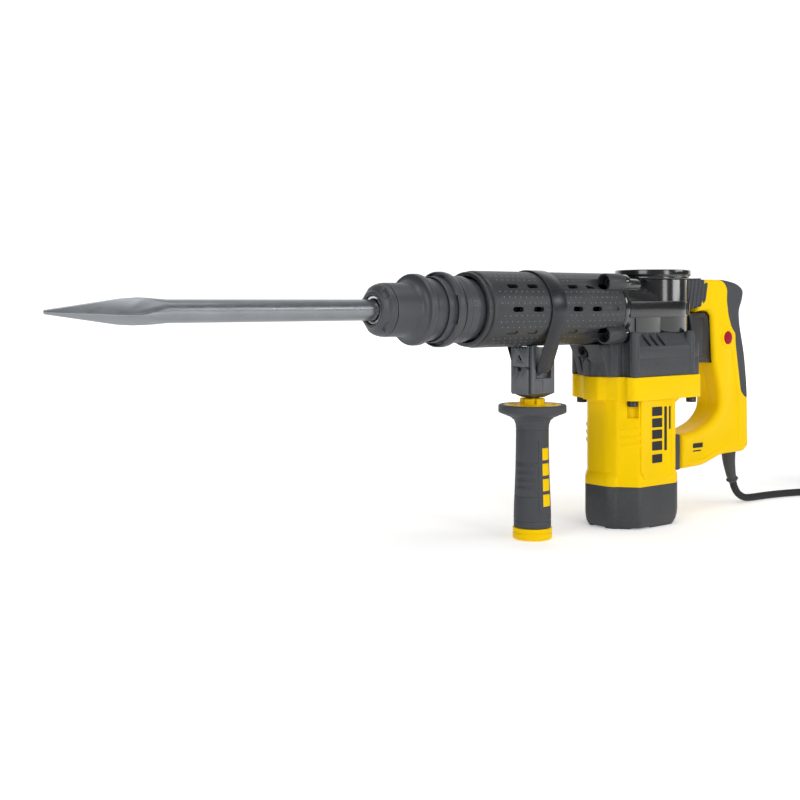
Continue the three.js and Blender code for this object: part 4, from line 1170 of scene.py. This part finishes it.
def saddle_shape():
    """A toothed plate that bears on the barrel, over an arched tab with a notch."""
    teeth = [(10.6, 181.6), (10.6, 163.4), (-10.6, 163.4), (-10.6, 183.4)]
    y = -10.6
    for k in range(5):
        teeth += [(y + 1.5, 183.6 - 0.2 * k), (y + 2.7, 180.6), (y + 3.9, 180.6)]
        y += 4.0
    plate = prism("x", [*teeth[:4], *teeth[4:]], BLOCK_X - 16.6, BLOCK_X - 14.2, 0.25, 2)
    slot = moved(prism("x", capsule(6.4, 2.1), -3, 3),
        Matrix.Translation((BLOCK_X - 15.4, 0.4, 172)) @ Matrix.Rotation(math.radians(52), 4, "X"))
    plate = combined(plate, cut=[slot, rod("x", SLEEVE_R + 0.5, -200, -100, (0, 0, AXIS_Z), 0, 72)])
    arch = rounded([(-11, 137.4), (11, 137.4), (11, 163, 7), (3.6, 163, 0.8), (2.6, 160.4, 1),
        (0, 159, 1.6), (-2.6, 160.4, 1),
                    (-3.6, 163, 0.8), (-11, 163, 7)], 5)
    tab = prism("x", arch, BLOCK_X - 17.4, BLOCK_X - 14.2, 0.4, 2)
    return combined(plate, [tab])


piece("saddle", saddle_shape(), "side_clamp", CLAMP, ["clamp_saddle"], bevel=0.2, angle=50)


def thread_shape():
    profile = [(0, 80), (4.4, 80), (5, 80.8)]
    z = 82
    while z < 166:
        profile += [(5, z), (4.5, z + 0.5), (5, z + 1)]
        z += 2
    return turned("z", [*profile, (5, 166.6), (4.4, 168), (0, 168)], (GRIP_X, 0, 0), 32)


piece("tension_bolt", thread_shape(), "side_clamp", GROUND, ["clamp_bolt"], crease=25)


def grip_radius(z):
    knots = [(11, 17.7), (20, 17.8), (34, 17.4), (50, 16.7), (66, 16.1), (85, 15.7), (100, 15.6),
        (108, 15.9), (112, 17.2), (115, 20.4),
             (117.6, 26.4), (119.4, 31.2)]
    for (z0, r0), (z1, r1) in zip(knots, knots[1:]):
        if z <= z1:
            return r0 + (r1 - r0) * eased((z - z0) / (z1 - z0)) if z > 108 else r0 + (r1 - r0) * (z - z0) / (z1 - z0)
    return knots[-1][1]


def grip_core_shape():
    at = (GRIP_X, 0, 0)
    body = turned("z", [
        (0, 0.9), (9, 0.9), (9.6, 0), (16.6, 0), (17.8, 0.5), (18.6, 1.5), (18.75, 2.5), (18.75, 6.4),
        (18.1, 6.8), (18.1, 7.6),
        (18.75, 8), (18.75, 11), (11, 11), (11, 124.6), (27, 124.6), (27, 127.2), (13, 127.2),
        (12.2, 127.8), (12, 128.6),
        (12, 132.4), (11.4, 133.2), (0, 133.2),
    ], at, 96)
    pockets = [turned("z", [(14.5, 126.3), (24, 126.3), (24, 129), (14.5, 129)], at, 8, 45 * k + 8,
        29) for k in range(8)]
    notches = [turned("z", [(9.2, 128), (14, 128), (14, 134), (9.2, 134)], at, 4, 60 * k - 6,
        12) for k in range(6)]
    return combined(body, cut=[*pockets, *notches, rod("z", 5.4, 78, 140, at, 0, 40)])


piece("grip_core", grip_core_shape(), "side_grip", YELLOW, ["side_grip_core"], bevel=0.3, angle=45)


def grip_wedge(low, high, first, last, proud, depth=1.2, sides=16):
    """A patch that follows the grip's surface, "proud" of it."""
    stations = [low + (high - low) * k / 6 for k in range(7)]
    profile = [(grip_radius(z) + proud, z) for z in stations]
    if proud > 0:
        profile = [(profile[0][0] - proud - depth, low), (profile[0][0] - 0.3, low), *profile[1:-1],
            (profile[-1][0] - 0.3, high),
                   (profile[-1][0] - proud - depth, high)]
    else:
        profile = [(profile[0][0] + 4, low), *profile, (profile[-1][0] + 4, high)]
    return turned("z", profile, (GRIP_X, 0, 0), sides, first, last - first)


def grip_rubber_shape():
    at = (GRIP_X, 0, 0)
    stations = [11.3, 12, 20, 34, 50, 66, 85, 100, 105, 108, 109.5, 111, 112.5, 114, 115.2, 116.4, 117.6,
        118.6, 119.4]
    outside = [(grip_radius(z), z) for z in stations]
    outside[0] = (17.2, 11.3)
    rim = [(32, 120), (32.4, 120.8), (32.4, 125.6), (32.1, 126.6), (31.4, 127.2)]
    body = turned("z", [(11.3, 11.3), *outside, *rim, (27.3, 127.2), (27.3, 124.3), (11.3, 124.3)], at, 96)
    seams = [grip_wedge(24, 96, a - 1.6, a + 1.6, -0.5, sides=3) for a in (150, 246, 318)]
    rings = [grip_wedge(z, z + 1.3, 0, 360, -0.45, sides=96) for z in (17.5, 103.4)]
    panels = [grip_wedge(72.5, 74, 152, 244, -0.5), grip_wedge(40.5, 42, 152, 244, -0.5)]
    ribs = [grip_wedge(z - 1.7, z + 1.7, a, a + 64, 0.9) for z in (48, 55, 62, 69) for a in (167, 347)]
    return combined(body, ribs, [*seams, *rings, *panels])


piece("grip_sleeve", grip_rubber_shape(), "side_grip", RUBBER, ["side_grip_rubber"], bevel=0.25, angle=40)
piece("grip_mark", merged(*[grip_wedge(low, low + 11.5, 262, 296, 0.28, 0.6) for low in (32, 46.5, 61,
    75.5)]),
      "side_grip", YELLOW, bevel=0.15, angle=50)

# Rear handle

HANDLE = [
    (79, 248.5), (128, 248.5, 12), (150, 244.5, 8), (160.5, 238, 6), (158, 226, 9), (152, 215, 10),
    (153.5, 200, 9),
    (162, 168, 12), (167, 130, 15), (168, 66, 3), (160, 60, 3), (121, 59.8, 9), (90, 50.5, 9), (52.2, 49.5),
    (52.2, 86), (76, 87.6, 10), (102, 95.6, 12), (118, 110, 9), (116, 132, 10), (106.5, 160, 8), (103, 210),
    (97, 215.5), (79, 214),
]
OVERMOLD = [
    (113.5, 252), (124, 245, 3), (129, 238, 3), (128.2, 226, 4), (131, 210, 5), (136.5, 197, 4),
    (143.5, 190, 3),
    (143.5, 180, 3), (148, 155, 8), (153, 127, 3), (160, 120, 3), (175, 118), (175, 252),
]
TRIGGER = [
    (69, 212.6, 2), (98, 213.6, 3), (106.5, 206, 3), (112.5, 178, 4), (113, 163, 3), (108, 159.6, 2),
    (84.5, 159.8, 3), (80, 164, 3), (76.5, 185, 6),
]
BUTTON = (128.2, 0, 185.7)
PIVOT = (46.3, 0, 68)


def slid(corners, by_u, by_v=0.0, steps=4):
    return rounded([(u + by_u, v + by_v, *rest) for u, v, *rest in corners], steps)


def handle_shapes():
    solid = prism("y", rounded(HANDLE, 5), -17, 17, 5, 5)
    tongue = [rod("y", 8, -6.5, 6.5, PIVOT, 0.4, 40), box((46.3, 56), (-6.5, 6.5), (62, 74))]
    room = [prism("y", slid(OVERMOLD, -0.3), -30, 30),
        *[prism("y", slid(TRIGGER, u, v), -12.6, 12.6) for u, v in
            ((0.3, -0.5), (3.2, -0.6), (6.1, -0.6), (6.1, 0.5))],
            box((104, 134.5), (-11.5, 11.5), (168, 206)),
            rod("x", 12, 70, 92, (0, 0, 232), 0, 48), rod("y", 7.2, -25, 0, BUTTON, 0, 48)]
    panel = [(60, 57, 3), (88, 57.6, 6), (118, 67, 8), (146, 67.5, 5), (149, 74, 5), (149, 108, 10),
        (144, 140, 10), (136, 176), (133, 176),
             (133, 118, 14), (112, 89, 12), (80, 80.2, 8), (60, 79, 3)]
    dish = prism("y", rounded(panel, 5), -20, -16.55)
    whole = combined(combined(solid, tongue), cut=[rod("y", 4.3, -20, 20, PIVOT, 0, 32), *room])
    rim = turned("y", [(7.2, -18.6), (8, -18.4), (9.6, -18.2), (10.4, -17.6), (10.9, -16.6), (10.9, -11),
        (7.2, -11)], BUTTON, 64)
    rim = combined(rim, cut=[room[0]])
    near = combined(whole, cut=[box((0, 200), (-0.15, 60), (0, 300)), dish])
    near = combined(near, [rim])
    near = combined(near, cut=[rod("y", 7.2, -25, 0, BUTTON, 0, 48)])
    far = combined(whole, cut=[box((0, 200), (-60, 0.15), (0, 300)), flipped(dish)])
    cover = boolean_meet(solid, prism("y", slid(OVERMOLD, 0), -30, 30))
    return near, far, combined(cover, cut=[prism("y", slid(TRIGGER, 0), -5, 5)])


near_shell, far_shell, overmold = handle_shapes()
piece("handle_near", near_shell, "rear_handle", YELLOW, ["handle_shell_near"], bevel=0.4, angle=40)
piece("handle_far", far_shell, "rear_handle", YELLOW, ["handle_shell_far"], bevel=0.4, angle=40)
piece("palm_rubber", overmold, "rear_handle", RUBBER, ["grip_overmold"], bevel=0.4, angle=40)


def trigger_shape():
    plate = prism("y", slid(TRIGGER, 0), -12, 12, 1.2, 3)
    lever = rounded([(69.2, 212, 2), (88, 212, 5), (95, 206, 6), (95, 172, 8), (88, 160.2, 5),
        (84.6, 160, 3), (80.2, 164.2, 4), (76.7, 185, 10),
                     (70.4, 206, 5)], 5)
    finger = prism("y", lever, -13, 13, 3.2, 5)
    slot = [prism("y", rounded([(73, 207.6, 0.8), (98, 208.4, 0.8), (98, 209.6), (73, 208.8)]),
        *sorted((side * 11.4, side * 20))) for side in (-1, 1)]
    return combined(plate, [finger], slot)


piece("trigger_lever", trigger_shape(), "trigger", BLACK, ["trigger"], bevel=0.3, angle=45)
piece("button", turned("y", [(0, -19.3), (4.8, -19.4), (5.8, -19.2), (6.5, -18.6), (6.8, -17.8),
    (6.8, -13.2), (0, -13.2)], BUTTON, 64),
      "lock_button", CRIMSON, ["lock_button"])


def tile(x, z, y):
    """A thin plate on a side face, with small round corners."""
    return prism("y", rounded([(x[0], z[0], 0.8), (x[1], z[0], 0.8), (x[1], z[1], 0.8), (x[0], z[1], 0.8)],
        3), *sorted(y))


for side, face in (("near", -39.4), ("far", 39.4)):
    out = math.copysign(0.25, face)
    marks = [tile((-22.6, -7.4), (77 + 11.4 * k, 86 + 11.4 * k), (face, face + out)) for k in range(4)]
    marks += [tile((-22.6, -7.4), (64.6, 73), (face, face + out)),
        tile((-4, -0.2), (76, 120), (face, face + out)),
              tile((3.2, 5.6), (97, 120), (face, face + out))]
    piece(f"label_mark_{side}", merged(*marks), "housing", PRINT)
piece("handle_mark", both(merged(tile((70.5, 87), (70.2, 75.2), (-16.55, -16.7)),
    tile((70.5, 84), (66.4, 67.8), (-16.55, -16.7)))),
      "rear_handle", PRINT)

# Between the housing and the handle: bellows, spring and lower pad


def bellows_shape():
    """A block between housing and handle that laps over the handle's end, with ribs leaning to the rear."""
    side = rounded([(61, 217.5, 2), (67.7, 217.5, 3), (79.4, 219.8, 3), (85.3, 222.6, 3), (89.5, 227.6, 4),
        (93.8, 238.2, 3), (93.4, 243, 3),
                    (82, 248.9, 3), (61, 247.5, 3)], 4)
    ribs = []
    for k in range(5):
        low, high = 59.6 + 6.3 * k, 67.2 + 6.3 * k
        band = prism("y", rounded([(low, 214, 1), (low + 3.2, 214, 1), (high + 3.2, 252, 1),
            (high, 252, 1)], 3), -18.6, 18.6, 1.4, 3)
        ribs.append(boolean_meet(band, prism("y", inset(side, -0.8), -30, 30)))
    handle_end = prism("y", rounded(HANDLE, 5), -17, 17, 5, 5)
    return combined(prism("y", side, -17.5, 17.5, 2, 3), ribs, [
        box((50, 61.05), (-30, 30), (200, 260)), handle_end, rod("x", 11.5, 50, 120, (0, 0, 232), 0, 48)])


boot = piece("bellows_boot", bellows_shape(), None, RUBBER, ["bellows"], bevel=0.3, angle=40)
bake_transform(boot)


def spring_shape(first, length, radius, height, turns, wire):
    """A coil spring along x with a flat turn at each end."""
    path = []
    for k in range(161):
        turn = 2 * math.pi * turns * k / 160
        share = min(1, max(0, (k - 14) / 132))
        path.append((first + length * share, radius * math.cos(turn), height + radius * math.sin(turn)))
    return swept(path, wire, 10)


lock = piece("lock_coil", spring_shape(-294.4, 30.6, 18.2, AXIS_Z, 4, 1.2), None, GROUND, ["lock_spring"],
    crease=60)
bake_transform(lock)
spring = piece("damping_spring", spring_shape(62.6, 27.4, 8, 232, 4.5, 1.1), None, GROUND, ["avc_spring"],
    crease=60)
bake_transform(spring)


def pad_shape():
    back = rounded([(-17.5, 49.5, 2), (17.5, 49.5, 2), (17.5, 86.5, 2), (-17.5, 86.5, 2)], 3)
    front = rounded([(-14.2, 52.6, 2), (14.2, 52.6, 2), (14.2, 83.2, 2), (-14.2, 83.2, 2)], 3)
    body = loft("x", [(back, 41.3), (back, 47.6), (front, 51.2)])
    return combined(body, cut=[box((36, 53), (-7.2, 7.2), (57.5, 78.5)),
        rod("y", 4.3, -15.2, 15.2, PIVOT, 0, 32)])


piece("hinge_pad", pad_shape(), "housing", RUBBER, ["lower_joint_pad"], bevel=0.5, angle=25)
